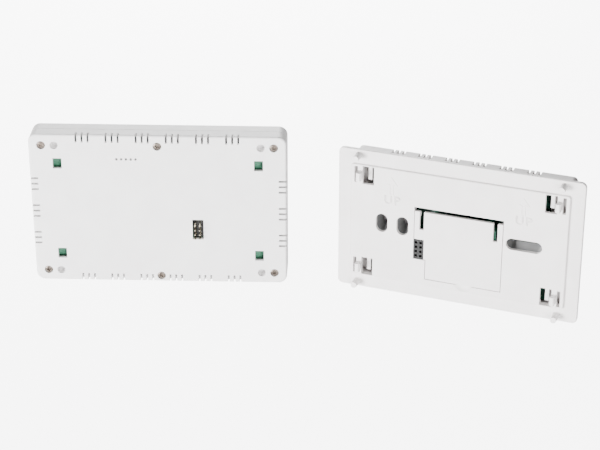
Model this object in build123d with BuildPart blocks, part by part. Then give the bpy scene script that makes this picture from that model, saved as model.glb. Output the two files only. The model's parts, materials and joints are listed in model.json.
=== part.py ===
from build123d import *
import os

# Wall thermostat in two halves: a base that screws to the wall, and a head that docks on it.
# Millimetres. X is right seen from the room, Z is up, +Y goes into the wall, and the wall is Y = 0.
# A "height" is a distance from the wall towards the room. The head is drawn as it sits on the
# base, then turned open about an upright line beside the base, so that both inner faces show.

os.makedirs("parts", exist_ok=True)

# ---------------------------------------------------------------- driving dimensions: base
BASE_W = 130.0
BASE_H = 79.0
BASE_R = 2.8
RIM_T = 2.0
RIM_ROUND = 0.6
BOX_INSET_X = 7.0
BOX_INSET_Z = 3.0
BOX_DEPTH = 11.5
BOX_R = 2.3
BOX_WALL = 1.7
BACK_WALL = 1.5
PANEL_INSET_X = 7.2
PANEL_INSET_Z = 7.7
PANEL_RISE = 1.5
PANEL_T = 2.0
PANEL_R = 1.5
LIP_T = 1.2
LIP_DEEP = 1.0
FIT_GAP = 0.1

VENT_W = 1.3
VENT_DEEP = 8.6
VENT_GROUPS = 6
VENT_GROUP_PITCH = 14.4
VENT_PITCH = 2.85

# wall-screw slots: two upright ones on the left and a level one on the right
SLOT_W = 6.4
SLOT_TALL = 10.4
SLOT_LONG = 19.0
SLOT_Z = 0.6
SLOT_OUTER_X = -40.5
SLOT_INNER_X = -29.2
SLOT_RIGHT_X = 35.6
SLEEVE_WALL = 1.2
SCREW_SLOT_W = 4.4

# locating pegs, snap hooks and the openings beside each hook
PEG_INSET_X = 11.0
PEG_INSET_Z = 3.1
PEG_R = 1.9
PEG_TAPER = 2.8
PEG_TALL = 6.0
HOOK_INSET_X = 12.2
HOOK_INSET_Z = 13.3
HOOK_TALL = 4.2
HOOK_LENGTH = 4.6
HOOK_T = 2.0
CATCH = 0.8
WINDOW_W = 6.2
WINDOW_H = 10.0
WINDOW_IN = 4.5
SLIT_W = 1.8
SLIT_H = 9.0
SLIT_OUT = 2.2
STOP_T = 2.0
STOP_H = 7.0

# wiring bay and its hinged cover
BAY_LEFT = -23.0
BAY_RIGHT = 24.6
BAY_TOP = 12.8
BAY_BOTTOM = -28.1
BAY_STEP_X = -16.6
BAY_STEP_Z = -17.0
COVER_T = 1.6
COVER_GAP = 0.4
COVER_TOP_GAP = 2.3
PIVOT_DROP = 2.0
PIVOT_R = 1.0
PIVOT_LENGTH = 2.0
PIVOT_CLEAR = 0.05
PIVOT_BOSS_R = 1.6
PIVOT_BELOW_PANEL = 1.8
ARM_W = 3.0
ARM_SLIT_W = 2.4
ARM_SLIT_H = 10.2
SCOOP_X = 4.7
SCOOP_R = 9.0
SCOOP_DEEP = 1.5
SCOOP_UP = 1.5
CABLE_W = 34.0
CABLE_H = 13.0
CABLE_X = 3.6
CABLE_Z = -19.6
CABLE_R = 2.0

# pin header and socket, the only electrical link between the halves
LINK_X = -20.3
LINK_Z = -11.2
LINK_COLUMNS = 2
LINK_ROWS = 4
LINK_PITCH = 2.54
LINK_PIN = 0.64
LINK_ENGAGED = 4.2
SOCKET_W = 5.1
SOCKET_H = 10.8
SOCKET_BELOW = 0.1
SOCKET_HOLE = 1.35
SOCKET_HOLE_DEEP = 8.0
LEAF_T = 0.25
LEAF_W = 0.9
LEAF_GAP = 0.7

# ---------------------------------------------------------------- driving dimensions: head
HEAD_OVER_X = 2.5
HEAD_OVER_Z = 3.0
HEAD_R = 4.6
HEAD_GAP = 0.3
HEAD_T = 16.5
REAR_DEEP = 8.0
HEAD_WALL = 2.0
REAR_T = 2.0
FRONT_T = 2.4
REAR_ROUND = 1.2
FRONT_ROUND = 1.6
HEAD_LIP_T = 1.0
HEAD_LIP_DEEP = 1.2
SEAM = 0.3
HEAD_VENT_W = 1.05
HEAD_VENT_IN = 4.2
HEAD_VENT_DEEP = 3.6
HEAD_VENT_GROUP_PITCH = 15.7
HEAD_VENT_PITCH = 3.14
HEAD_SIDE_GROUPS = 3
HEAD_SIDE_Z = -1.4
PEG_CLEAR = 0.25
PEG_HOLE_DEEP = 5.4
CUP_WALL = 1.1
HEAD_WINDOW_W = 4.7
HEAD_WINDOW_H = 5.8
LINK_WINDOW_W = 6.0
LINK_WINDOW_H = 11.5
SOUND_HOLE_R = 0.7
SOUND_HOLE_PITCH = 2.5
SOUND_X = 16.5
SOUND_Z = 29.0

SWING_OUT = 15.0
OPEN_ANGLE = 161.0

LENS_W = 104.0
LENS_H = 56.0
LENS_T = 1.2
LENS_R = 2.0
LENS_Z = 5.0
LENS_LEDGE = 5.0
LENS_GAP = 0.1

BUTTON_W = 13.0
BUTTON_H = 6.0
BUTTON_R = 2.0
BUTTON_Z = -31.0
BUTTON_PITCH = 20.0
BUTTON_PROUD = 0.6
BUTTON_GAP = 0.15
BUTTON_FLANGE = 1.0
BUTTON_FLANGE_T = 0.9
BUTTON_TRAVEL = 0.5
BUTTON_NAMES = ("power", "menu", "down", "up", "confirm")

BOARD_T = 1.6
MAIN_BOARD_UP = 5.7
MAIN_BOARD_SIDE = 10.0
MAIN_BOARD_TOP = 9.9
MAIN_BOARD_FOOT = 8.0

# ---------------------------------------------------------------- driving dimensions: screws
CASE_HEAD_R = 2.1
CASE_HEAD_T = 1.2
CASE_HEAD_SINK = 1.4
CASE_SHANK_R = 1.1
CASE_SHANK = 8.0
CASE_BOSS_R = 3.0
CASE_PILOT_DEEP = 6.5
SCREW_CLEAR = 0.2
SMALL_HEAD_R = 1.8
SMALL_HEAD_T = 1.1
SMALL_SHANK_R = 0.9
SMALL_SHANK = 4.0
CROSS_LONG = 2.3
CROSS_WIDE = 0.55
CROSS_DEEP = 0.7

# ---------------------------------------------------------------- worked out from those
BOX_W = BASE_W - 2 * BOX_INSET_X
BOX_H = BASE_H - 2 * BOX_INSET_Z
RIM_TOP = BOX_DEPTH + RIM_T
PANEL_W = BASE_W - 2 * PANEL_INSET_X
PANEL_H = BASE_H - 2 * PANEL_INSET_Z
PANEL_TOP = RIM_TOP + PANEL_RISE
PANEL_UNDER = PANEL_TOP - PANEL_T
PEG_X = BASE_W / 2 - PEG_INSET_X
PEG_Z = BASE_H / 2 - PEG_INSET_Z
PEG_HOLE_R = PEG_R + PEG_CLEAR
HOOK_X = BASE_W / 2 - HOOK_INSET_X
HOOK_Z = BASE_H / 2 - HOOK_INSET_Z
COVER_TOP = BAY_TOP - COVER_TOP_GAP
COVER_UNDER = PANEL_TOP - COVER_T
PIVOT_Z = COVER_TOP - PIVOT_DROP
PIVOT_HEIGHT = PANEL_TOP - PIVOT_BELOW_PANEL

HEAD_W = BASE_W + 2 * HEAD_OVER_X
HEAD_H = BASE_H + 2 * HEAD_OVER_Z
HEAD_BACK = PANEL_TOP + HEAD_GAP
HEAD_FRONT = HEAD_BACK + HEAD_T
PART_LINE = HEAD_BACK + REAR_DEEP
REAR_INSIDE = HEAD_BACK + REAR_T
FRONT_INSIDE = HEAD_FRONT - FRONT_T
MAIN_BACK = HEAD_BACK + MAIN_BOARD_UP
MAIN_FRONT = MAIN_BACK + BOARD_T
SWING_X = -(BASE_W / 2 + SWING_OUT)

CORNERS = [(x, z) for x in (-1, 1) for z in (-1, 1)]
PEG_PLACES = [(x * PEG_X, z * PEG_Z) for x, z in CORNERS]
HOOK_PLACES = [(x * HOOK_X, z * HOOK_Z) for x, z in CORNERS]
WINDOW_PLACES = [(x * (HOOK_X - WINDOW_IN), z * HOOK_Z) for x, z in CORNERS]
SLIT_PLACES = [(x * (HOOK_X + SLIT_OUT), z * HOOK_Z) for x, z in CORNERS]
LINK_PLACES = [
    (
        LINK_X + (column - (LINK_COLUMNS - 1) / 2) * LINK_PITCH,
        LINK_Z + (row - (LINK_ROWS - 1) / 2) * LINK_PITCH,
    )
    for column in range(LINK_COLUMNS)
    for row in range(LINK_ROWS)
]


# ---------------------------------------------------------------- planes and shared shapes
def base_at(height):
    """The plane at this height over the wall, with X right and Z up, facing the room."""
    return Plane(origin=(0, -height, 0), x_dir=(1, 0, 0), z_dir=(0, -1, 0))


SWING = (
    Location((SWING_X, -HEAD_BACK, 0))
    * Rotation(0, 0, -OPEN_ANGLE)
    * Location((-SWING_X, HEAD_BACK, 0))
)


def head_at(height):
    """The same plane for a docked head, carried round with the head as it swings open."""
    return Plane(SWING * base_at(height).location)


HEAD_AXIS = Axis((0, 0, 0), head_at(0).z_dir)


def vent_places(groups, group_pitch, slot_pitch):
    """Middles of the slots along one edge, three slots to a group."""
    return [
        (group - (groups - 1) / 2) * group_pitch + slot * slot_pitch
        for group in range(groups)
        for slot in (-1, 0, 1)
    ]


def save(piece, name):
    """Labels a finished piece and writes it."""
    piece.part.label = name
    export_step(piece.part, f"parts/{name}.step")


def screw_group(plane_at, places, seat, way, head_r, head_t, shank_r, shank):
    """Cross-recessed screws whose heads sit at a height; way is 1 where they drive into the room."""
    with BuildPart() as screws:
        with BuildSketch(plane_at(seat)):
            with Locations(*places):
                Circle(head_r)
        extrude(amount=-way * head_t)
        with BuildSketch(plane_at(seat)):
            with Locations(*places):
                Circle(shank_r)
        extrude(amount=way * shank)
        with BuildSketch(plane_at(seat - way * head_t)):
            with Locations(*places):
                Rectangle(CROSS_LONG * head_r / CASE_HEAD_R, CROSS_WIDE)
                Rectangle(CROSS_WIDE, CROSS_LONG * head_r / CASE_HEAD_R)
        extrude(amount=way * CROSS_DEEP, mode=Mode.SUBTRACT)
    return screws


# ---------------------------------------------------------------- base: rear box
BOARD_UNDER = 3.8
BOARD_TOP = BOARD_UNDER + BOARD_T
BOARD_POST_R = 2.4
BOARD_POST_X = 41.0
BOARD_POST_Z = 14.0
BASE_SCREW_IN = 5.5
BASE_SCREW_Z = 9.0
BOARD_POST_PLACES = [(x * BOARD_POST_X, z * BOARD_POST_Z) for x, z in CORNERS]
BASE_SCREW_PLACES = [(x * (BOX_W / 2 - BASE_SCREW_IN), z * BASE_SCREW_Z) for x, z in CORNERS]
PAD_R = 3.2
PAD_TOP = 3.6
BASE_SINK = 1.4
BACK_CHAMFER = 0.5

with BuildPart() as base_rear_box:
    with BuildSketch(base_at(0)):
        RectangleRounded(BOX_W, BOX_H, BOX_R)
    extrude(amount=BOX_DEPTH)
    chamfer(base_rear_box.faces().sort_by(Axis.Y)[-1].edges(), BACK_CHAMFER)
    with BuildSketch(base_at(BACK_WALL)):
        RectangleRounded(BOX_W - 2 * BOX_WALL, BOX_H - 2 * BOX_WALL, BOX_R - BOX_WALL)
    extrude(amount=BOX_DEPTH, mode=Mode.SUBTRACT)
    # posts for the power board, pads for the base screws, and a stop behind each hook
    with BuildSketch(base_at(BACK_WALL)):
        with Locations(*BOARD_POST_PLACES):
            Circle(BOARD_POST_R)
    extrude(amount=BOARD_UNDER - BACK_WALL)
    with BuildSketch(base_at(BACK_WALL)):
        with Locations(*BASE_SCREW_PLACES):
            Circle(PAD_R)
    extrude(amount=PAD_TOP - BACK_WALL)
    with BuildSketch(base_at(BACK_WALL)):
        with Locations(*WINDOW_PLACES):
            Rectangle(STOP_T, STOP_H)
    extrude(amount=BOX_DEPTH - BACK_WALL)
    # holes: screws, board screws, cable entry, narrow ends of the wall-screw slots
    with BuildSketch(base_at(0)):
        with Locations(*BASE_SCREW_PLACES):
            Circle(CASE_HEAD_R + SCREW_CLEAR)
    extrude(amount=BASE_SINK, mode=Mode.SUBTRACT)
    with BuildSketch(base_at(0)):
        with Locations(*BASE_SCREW_PLACES):
            Circle(CASE_SHANK_R + SCREW_CLEAR)
    extrude(amount=PAD_TOP, mode=Mode.SUBTRACT)
    with BuildSketch(base_at(BACK_WALL)):
        with Locations(*BOARD_POST_PLACES):
            Circle(SMALL_SHANK_R)
    extrude(amount=BOARD_UNDER - BACK_WALL, mode=Mode.SUBTRACT)
    with BuildSketch(base_at(0)):
        with Locations((CABLE_X, CABLE_Z)):
            RectangleRounded(CABLE_W, CABLE_H, CABLE_R)
        with Locations((SLOT_OUTER_X, SLOT_Z), (SLOT_INNER_X, SLOT_Z)):
            SlotOverall(SLOT_TALL - SLOT_W + SCREW_SLOT_W, SCREW_SLOT_W, rotation=90)
        with Locations((SLOT_RIGHT_X, SLOT_Z)):
            SlotOverall(SLOT_LONG - SLOT_W + SCREW_SLOT_W, SCREW_SLOT_W)
    extrude(amount=BACK_WALL, mode=Mode.SUBTRACT)
    # vents through the top and bottom walls, open at the back edge
    with BuildSketch(base_at(0)):
        for side in (-1, 1):
            for x in vent_places(VENT_GROUPS, VENT_GROUP_PITCH, VENT_PITCH):
                with Locations((x, side * (BOX_H - BOX_WALL) / 2)):
                    Rectangle(VENT_W, BOX_WALL + 2 * FIT_GAP)
    extrude(amount=VENT_DEEP, mode=Mode.SUBTRACT)
save(base_rear_box, "base_rear_box")

# ---------------------------------------------------------------- base: front plate
EAR_H = 4.4
EAR_LONG = 3.0
EAR_BELOW = 2.3
EAR_UNDER = PIVOT_HEIGHT - EAR_BELOW
ARROW_PLACES = [(-35.6, 22.4), (34.2, 22.4)]
ARROW_W = 6.6
ARROW_H = 10.0
ARROW_HEAD_H = 4.6
ARROW_SHAFT = 2.4
ARROW_LINE = 0.55
ARROW_CLEAR = 0.05
ARROW_RISE = HEAD_GAP - ARROW_CLEAR
HOOK_BEVEL = 0.6
CATCH_UP = REAR_T + 2 * FIT_GAP


def bay_outline(gap, top):
    """Corners of the bay opening, stepped at lower left, drawn in by a gap and cut off at a top."""
    return [
        (BAY_LEFT + gap, top),
        (BAY_RIGHT - gap, top),
        (BAY_RIGHT - gap, BAY_BOTTOM + gap),
        (BAY_STEP_X + gap, BAY_BOTTOM + gap),
        (BAY_STEP_X + gap, BAY_STEP_Z + gap),
        (BAY_LEFT + gap, BAY_STEP_Z + gap),
    ]


with BuildPart() as base_plate:
    with BuildSketch(base_at(BOX_DEPTH)):
        RectangleRounded(BASE_W, BASE_H, BASE_R)
    extrude(amount=RIM_T)
    fillet(base_plate.faces().sort_by(Axis.Y)[0].edges(), RIM_ROUND)
    with BuildSketch(base_at(RIM_TOP)):
        RectangleRounded(PANEL_W, PANEL_H, PANEL_R)
    extrude(amount=PANEL_RISE)
    fillet(base_plate.faces().sort_by(Axis.Y)[0].edges(), RIM_ROUND)
    with BuildSketch(base_at(BOX_DEPTH)):
        RectangleRounded(PANEL_W - 2 * PANEL_T, PANEL_H - 2 * PANEL_T, PANEL_R)
    extrude(amount=PANEL_UNDER - BOX_DEPTH, mode=Mode.SUBTRACT)
    # lip that drops inside the rear box
    with BuildSketch(base_at(BOX_DEPTH)):
        RectangleRounded(
            BOX_W - 2 * BOX_WALL - 2 * FIT_GAP, BOX_H - 2 * BOX_WALL - 2 * FIT_GAP, BOX_R - BOX_WALL
        )
        Rectangle(
            BOX_W - 2 * BOX_WALL - 2 * LIP_T, BOX_H - 2 * BOX_WALL - 2 * LIP_T, mode=Mode.SUBTRACT
        )
    extrude(amount=-LIP_DEEP)
    # posts for the base screws, ears for the cover's pivots
    with BuildSketch(base_at(PANEL_UNDER)):
        with Locations(*BASE_SCREW_PLACES):
            Circle(PAD_R)
    extrude(amount=-(PANEL_UNDER - PAD_TOP))
    with BuildSketch(Plane.YZ.offset(BAY_LEFT - EAR_LONG)):
        with Locations((-(PANEL_UNDER + EAR_UNDER) / 2, PIVOT_Z)):
            Rectangle(PANEL_UNDER - EAR_UNDER, EAR_H)
    extrude(amount=EAR_LONG)
    with BuildSketch(Plane.YZ.offset(BAY_RIGHT)):
        with Locations((-(PANEL_UNDER + EAR_UNDER) / 2, PIVOT_Z)):
            Rectangle(PANEL_UNDER - EAR_UNDER, EAR_H)
    extrude(amount=EAR_LONG)
    # openings: bay, wall-screw slots, and the window and slit that free each hook
    with BuildSketch(base_at(PANEL_TOP)):
        with BuildLine():
            Polyline(*bay_outline(0, BAY_TOP), close=True)
        make_face()
    extrude(amount=-PANEL_TOP, mode=Mode.SUBTRACT)
    with BuildSketch(base_at(PANEL_TOP)):
        with Locations((SLOT_OUTER_X, SLOT_Z), (SLOT_INNER_X, SLOT_Z)):
            SlotOverall(SLOT_TALL, SLOT_W, rotation=90)
        with Locations((SLOT_RIGHT_X, SLOT_Z)):
            SlotOverall(SLOT_LONG, SLOT_W)
        with Locations(*WINDOW_PLACES):
            Rectangle(WINDOW_W, WINDOW_H)
        with Locations(*SLIT_PLACES):
            Rectangle(SLIT_W, SLIT_H)
    extrude(amount=-PANEL_TOP, mode=Mode.SUBTRACT)
    with BuildSketch(base_at(PAD_TOP)):
        with Locations(*BASE_SCREW_PLACES):
            Circle(CASE_SHANK_R)
    extrude(amount=CASE_PILOT_DEEP, mode=Mode.SUBTRACT)
    for start, length in (
        (BAY_LEFT - PIVOT_LENGTH, PIVOT_LENGTH),
        (BAY_RIGHT, PIVOT_LENGTH),
    ):
        with BuildSketch(Plane.YZ.offset(start)):
            with Locations((-PIVOT_HEIGHT, PIVOT_Z)):
                Circle(PIVOT_R + PIVOT_CLEAR)
        extrude(amount=length, mode=Mode.SUBTRACT)
    # finger scoop under the cover's lower edge
    with Locations((SCOOP_X, -(PANEL_TOP + SCOOP_R - SCOOP_DEEP), BAY_BOTTOM + SCOOP_UP)):
        Sphere(SCOOP_R, mode=Mode.SUBTRACT)
    # pegs that find the holes in the head
    with BuildSketch(base_at(RIM_TOP)):
        with Locations(*PEG_PLACES):
            Circle(PEG_R)
    extrude(amount=PEG_TALL, taper=PEG_TAPER)
    # snap hooks, each on the strip between its window and its slit
    for x_side, z_side in CORNERS:
        outside = HOOK_X + HOOK_T / 2
        inside = HOOK_X - HOOK_T / 2
        with BuildSketch(Plane.XY.offset(z_side * HOOK_Z - HOOK_LENGTH / 2)):
            with BuildLine():
                Polyline(
                    (x_side * outside, -PANEL_UNDER),
                    (x_side * outside, -(PANEL_TOP + HOOK_TALL - HOOK_BEVEL)),
                    (x_side * (outside - HOOK_BEVEL), -(PANEL_TOP + HOOK_TALL)),
                    (x_side * inside, -(PANEL_TOP + HOOK_TALL)),
                    (x_side * (inside - CATCH), -(HEAD_BACK + CATCH_UP + HOOK_BEVEL)),
                    (x_side * (inside - CATCH), -(HEAD_BACK + CATCH_UP)),
                    (x_side * inside, -(HEAD_BACK + CATCH_UP)),
                    (x_side * inside, -PANEL_UNDER),
                    close=True,
                )
            make_face()
        extrude(amount=HOOK_LENGTH)
    # raised outline arrows that point up
    with BuildSketch(base_at(PANEL_TOP)):
        for x, z in ARROW_PLACES:
            with BuildLine():
                Polyline(
                    (x, z + ARROW_H / 2),
                    (x + ARROW_W / 2, z + ARROW_H / 2 - ARROW_HEAD_H),
                    (x + ARROW_SHAFT / 2, z + ARROW_H / 2 - ARROW_HEAD_H),
                    (x + ARROW_SHAFT / 2, z - ARROW_H / 2),
                    (x - ARROW_SHAFT / 2, z - ARROW_H / 2),
                    (x - ARROW_SHAFT / 2, z + ARROW_H / 2 - ARROW_HEAD_H),
                    (x - ARROW_W / 2, z + ARROW_H / 2 - ARROW_HEAD_H),
                    close=True,
                )
            make_face()
        offset(amount=-ARROW_LINE, mode=Mode.SUBTRACT)
    extrude(amount=ARROW_RISE)
save(base_plate, "base_plate")

# ---------------------------------------------------------------- base: wall-screw sleeves
with BuildPart() as screw_sleeves:
    with BuildSketch(base_at(BACK_WALL)):
        with Locations((SLOT_OUTER_X, SLOT_Z), (SLOT_INNER_X, SLOT_Z)):
            SlotOverall(SLOT_TALL + 2 * SLEEVE_WALL, SLOT_W + 2 * SLEEVE_WALL, rotation=90)
            SlotOverall(SLOT_TALL, SLOT_W, rotation=90, mode=Mode.SUBTRACT)
        with Locations((SLOT_RIGHT_X, SLOT_Z)):
            SlotOverall(SLOT_LONG + 2 * SLEEVE_WALL, SLOT_W + 2 * SLEEVE_WALL)
            SlotOverall(SLOT_LONG, SLOT_W, mode=Mode.SUBTRACT)
    extrude(amount=PANEL_UNDER - BACK_WALL)
save(screw_sleeves, "screw_sleeves")

# ---------------------------------------------------------------- base: hinged terminal cover
with BuildPart() as terminal_cover:
    with BuildSketch(base_at(COVER_UNDER)):
        with BuildLine():
            Polyline(*bay_outline(COVER_GAP, COVER_TOP), close=True)
        make_face()
        # room for the socket, and the two slits that make the pivot arms springy
        with Locations((BAY_LEFT, LINK_Z)):
            Rectangle(2 * (LINK_X + SOCKET_W / 2 + COVER_GAP - BAY_LEFT), SOCKET_H + 2 * COVER_GAP,
                      mode=Mode.SUBTRACT)
        for x in (BAY_LEFT + ARM_W + ARM_SLIT_W / 2, BAY_RIGHT - ARM_W - ARM_SLIT_W / 2):
            with Locations((x, COVER_TOP - ARM_SLIT_H / 2)):
                Rectangle(ARM_SLIT_W, ARM_SLIT_H, mode=Mode.SUBTRACT)
    extrude(amount=COVER_T)
    for start, length in ((BAY_LEFT + COVER_GAP, ARM_W - COVER_GAP),
                          (BAY_RIGHT - ARM_W, ARM_W - COVER_GAP)):
        with BuildSketch(Plane.YZ.offset(start)):
            with Locations((-PIVOT_HEIGHT, PIVOT_Z)):
                Circle(PIVOT_BOSS_R)
        extrude(amount=length)
    for start, length in ((BAY_LEFT - PIVOT_LENGTH + COVER_GAP, PIVOT_LENGTH),
                          (BAY_RIGHT - COVER_GAP, PIVOT_LENGTH)):
        with BuildSketch(Plane.YZ.offset(start)):
            with Locations((-PIVOT_HEIGHT, PIVOT_Z)):
                Circle(PIVOT_R)
        extrude(amount=length)
save(terminal_cover, "terminal_cover")

# ---------------------------------------------------------------- base: screws
base_screws = screw_group(
    base_at, BASE_SCREW_PLACES, BASE_SINK, 1, CASE_HEAD_R, CASE_HEAD_T, CASE_SHANK_R, CASE_SHANK
)
save(base_screws, "base_screws")

# ---------------------------------------------------------------- base: power board
BOARD_SIDE = 1.5
BOARD_W = 2 * (HOOK_X - WINDOW_IN - STOP_T / 2 - BOARD_SIDE)
BOARD_H = BOX_H - 2 * (BOX_WALL + BOARD_SIDE)
BOARD_CLEAR = 0.4
CUT_TOP = -5.6
CUT_SIDE = 1.4

with BuildPart() as power_board:
    with BuildSketch(base_at(BOARD_UNDER)):
        Rectangle(BOARD_W, BOARD_H)
        with Locations((SLOT_OUTER_X, SLOT_Z), (SLOT_INNER_X, SLOT_Z)):
            SlotOverall(
                SLOT_TALL + 2 * (SLEEVE_WALL + BOARD_CLEAR),
                SLOT_W + 2 * (SLEEVE_WALL + BOARD_CLEAR),
                rotation=90,
                mode=Mode.SUBTRACT,
            )
        with Locations((SLOT_RIGHT_X, SLOT_Z)):
            SlotOverall(
                SLOT_LONG + 2 * (SLEEVE_WALL + BOARD_CLEAR),
                SLOT_W + 2 * (SLEEVE_WALL + BOARD_CLEAR),
                mode=Mode.SUBTRACT,
            )
        with Locations((CABLE_X, (CUT_TOP - BOARD_H / 2) / 2)):
            Rectangle(CABLE_W + 2 * CUT_SIDE, CUT_TOP + BOARD_H / 2, mode=Mode.SUBTRACT)
        with Locations(*BOARD_POST_PLACES):
            Circle(SMALL_SHANK_R, mode=Mode.SUBTRACT)
    extrude(amount=BOARD_T)
save(power_board, "power_board")

power_board_screws = screw_group(
    base_at, BOARD_POST_PLACES, BOARD_TOP, -1,
    SMALL_HEAD_R, SMALL_HEAD_T, SMALL_SHANK_R, BOARD_T + BOARD_UNDER - BACK_WALL,
)
save(power_board_screws, "power_board_screws")

# ---------------------------------------------------------------- base: terminal block
POLES = 6
POLE_PITCH = 5.08
BLOCK_X = 4.3
BLOCK_Z = 1.0
BLOCK_H = 8.4
BLOCK_TOP = 12.8
BLOCK_END = 0.6
POLE_W = 4.0
POLE_H = 4.6
POLE_ENTRY_UP = 1.2
ENTRY_BACK = 1.2
TERMINAL_R = 1.5
TERMINAL_HEAD_T = 1.0
TERMINAL_HEAD_UNDER = 0.5
TERMINAL_SHANK_R = 1.0
TERMINAL_SHANK = 1.6
CLAMP_WALL = 0.5
CLAMP_GAP = 0.1
SLOT_DRIVE = 0.5
SLOT_DRIVE_TURN = 20.0

POLE_PLACES = [(BLOCK_X + (pole - (POLES - 1) / 2) * POLE_PITCH, BLOCK_Z) for pole in range(POLES)]
BLOCK_W = POLES * POLE_PITCH + 2 * BLOCK_END
ENTRY_BOTTOM = BOARD_TOP + POLE_ENTRY_UP
ENTRY_MIDDLE = ENTRY_BOTTOM + POLE_H / 2
ENTRY_DEEP = BLOCK_H - ENTRY_BACK

with BuildPart() as terminal_block:
    with BuildSketch(base_at(BOARD_TOP)):
        with Locations((BLOCK_X, BLOCK_Z)):
            Rectangle(BLOCK_W, BLOCK_H)
    extrude(amount=BLOCK_TOP - BOARD_TOP)
    # one wire entry per pole, open at the lower edge, and a round well for its screw
    with BuildSketch(Plane.XY.offset(BLOCK_Z - BLOCK_H / 2)):
        for x, _ in POLE_PLACES:
            with Locations((x, -ENTRY_MIDDLE)):
                Rectangle(POLE_W, POLE_H)
    extrude(amount=ENTRY_DEEP, mode=Mode.SUBTRACT)
    with BuildSketch(base_at(BLOCK_TOP)):
        with Locations(*POLE_PLACES):
            Circle(TERMINAL_R + SCREW_CLEAR)
    extrude(amount=-(BLOCK_TOP - ENTRY_MIDDLE), mode=Mode.SUBTRACT)
save(terminal_block, "terminal_block")

with BuildPart() as terminal_clamps:
    with BuildSketch(Plane.XY.offset(BLOCK_Z - BLOCK_H / 2 + 2 * CLAMP_WALL)):
        for x, _ in POLE_PLACES:
            with Locations((x, -ENTRY_MIDDLE)):
                Rectangle(POLE_W - 2 * CLAMP_GAP, POLE_H - 2 * CLAMP_GAP)
                Rectangle(
                    POLE_W - 2 * (CLAMP_GAP + CLAMP_WALL),
                    POLE_H - 2 * (CLAMP_GAP + CLAMP_WALL),
                    mode=Mode.SUBTRACT,
                )
    extrude(amount=ENTRY_DEEP - 3 * CLAMP_WALL)
    with BuildSketch(base_at(ENTRY_MIDDLE)):
        with Locations(*POLE_PLACES):
            Circle(TERMINAL_SHANK_R)
    extrude(amount=BLOCK_TOP - ENTRY_MIDDLE, mode=Mode.SUBTRACT)
save(terminal_clamps, "terminal_clamps")

TERMINAL_SEAT = BLOCK_TOP - TERMINAL_HEAD_UNDER - TERMINAL_HEAD_T
with BuildPart() as terminal_screws:
    with BuildSketch(base_at(TERMINAL_SEAT)):
        with Locations(*POLE_PLACES):
            Circle(TERMINAL_R)
    extrude(amount=TERMINAL_HEAD_T)
    with BuildSketch(base_at(TERMINAL_SEAT)):
        with Locations(*POLE_PLACES):
            Circle(TERMINAL_SHANK_R)
    extrude(amount=-TERMINAL_SHANK)
    with BuildSketch(base_at(TERMINAL_SEAT + TERMINAL_HEAD_T)):
        with Locations(*POLE_PLACES):
            Rectangle(2 * TERMINAL_R, SLOT_DRIVE, rotation=SLOT_DRIVE_TURN)
    extrude(amount=-CROSS_DEEP, mode=Mode.SUBTRACT)
save(terminal_screws, "terminal_screws")

# ---------------------------------------------------------------- base: socket for the head
SOCKET_TOP = PANEL_TOP - SOCKET_BELOW
LEAF_BELOW = 2.4

with BuildPart() as socket_housing:
    with BuildSketch(base_at(BOARD_TOP)):
        with Locations((LINK_X, LINK_Z)):
            Rectangle(SOCKET_W, SOCKET_H)
    extrude(amount=SOCKET_TOP - BOARD_TOP)
    with BuildSketch(base_at(SOCKET_TOP)):
        with Locations(*LINK_PLACES):
            Rectangle(SOCKET_HOLE, SOCKET_HOLE)
    extrude(amount=-SOCKET_HOLE_DEEP, mode=Mode.SUBTRACT)
save(socket_housing, "socket_housing")

with BuildPart() as socket_contacts:
    with BuildSketch(base_at(SOCKET_TOP - SOCKET_HOLE_DEEP)):
        with Locations(*LINK_PLACES):
            Rectangle(LEAF_W, LEAF_GAP + 2 * LEAF_T)
    extrude(amount=SOCKET_HOLE_DEEP - LEAF_BELOW)
    with BuildSketch(base_at(SOCKET_TOP - SOCKET_HOLE_DEEP + 2 * LEAF_T)):
        with Locations(*LINK_PLACES):
            Rectangle(LEAF_W, LEAF_GAP)
    extrude(amount=SOCKET_HOLE_DEEP, mode=Mode.SUBTRACT)
save(socket_contacts, "socket_contacts")

# ---------------------------------------------------------------- base: parts on the power board
RELAY = (20.0, 12.0, 7.0)
RELAY_AT = (-28.0, 19.5)
SUPPLY = (24.0, 17.0, 7.2)
SUPPLY_AT = (27.0, 20.6)
FILM_CAPACITOR = (5.0, 13.0, 7.0)
FILM_CAPACITOR_AT = (36.0, -21.0)
BULK_CAPACITOR_R = 3.15
BULK_CAPACITOR_T = 6.6
BULK_CAPACITOR_AT = (-33.0, -20.0)
FUSE_R = 1.9
FUSE_LONG = 9.0
FUSE_AT = (27.0, -14.0)
VARISTOR_R = 3.6
VARISTOR_T = 3.2
VARISTOR_AT = (29.0, -25.0)
SMALL_ROUND = 0.6


def block_on_board(name, size, at):
    """A moulded component with softened edges, standing on the power board."""
    with BuildPart() as block:
        with BuildSketch(base_at(BOARD_TOP)):
            with Locations(at):
                Rectangle(size[0], size[1])
        extrude(amount=size[2])
        chamfer(block.edges().filter_by(Axis.Y), SMALL_ROUND)
    save(block, name)


block_on_board("relay", RELAY, RELAY_AT)
block_on_board("supply_module", SUPPLY, SUPPLY_AT)
block_on_board("film_capacitor", FILM_CAPACITOR, FILM_CAPACITOR_AT)

with BuildPart() as bulk_capacitor:
    with BuildSketch(base_at(BOARD_TOP)):
        with Locations(BULK_CAPACITOR_AT):
            Circle(BULK_CAPACITOR_R)
    extrude(amount=BULK_CAPACITOR_T)
    fillet(bulk_capacitor.faces().sort_by(Axis.Y)[0].edges(), SMALL_ROUND)
save(bulk_capacitor, "bulk_capacitor")

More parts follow.
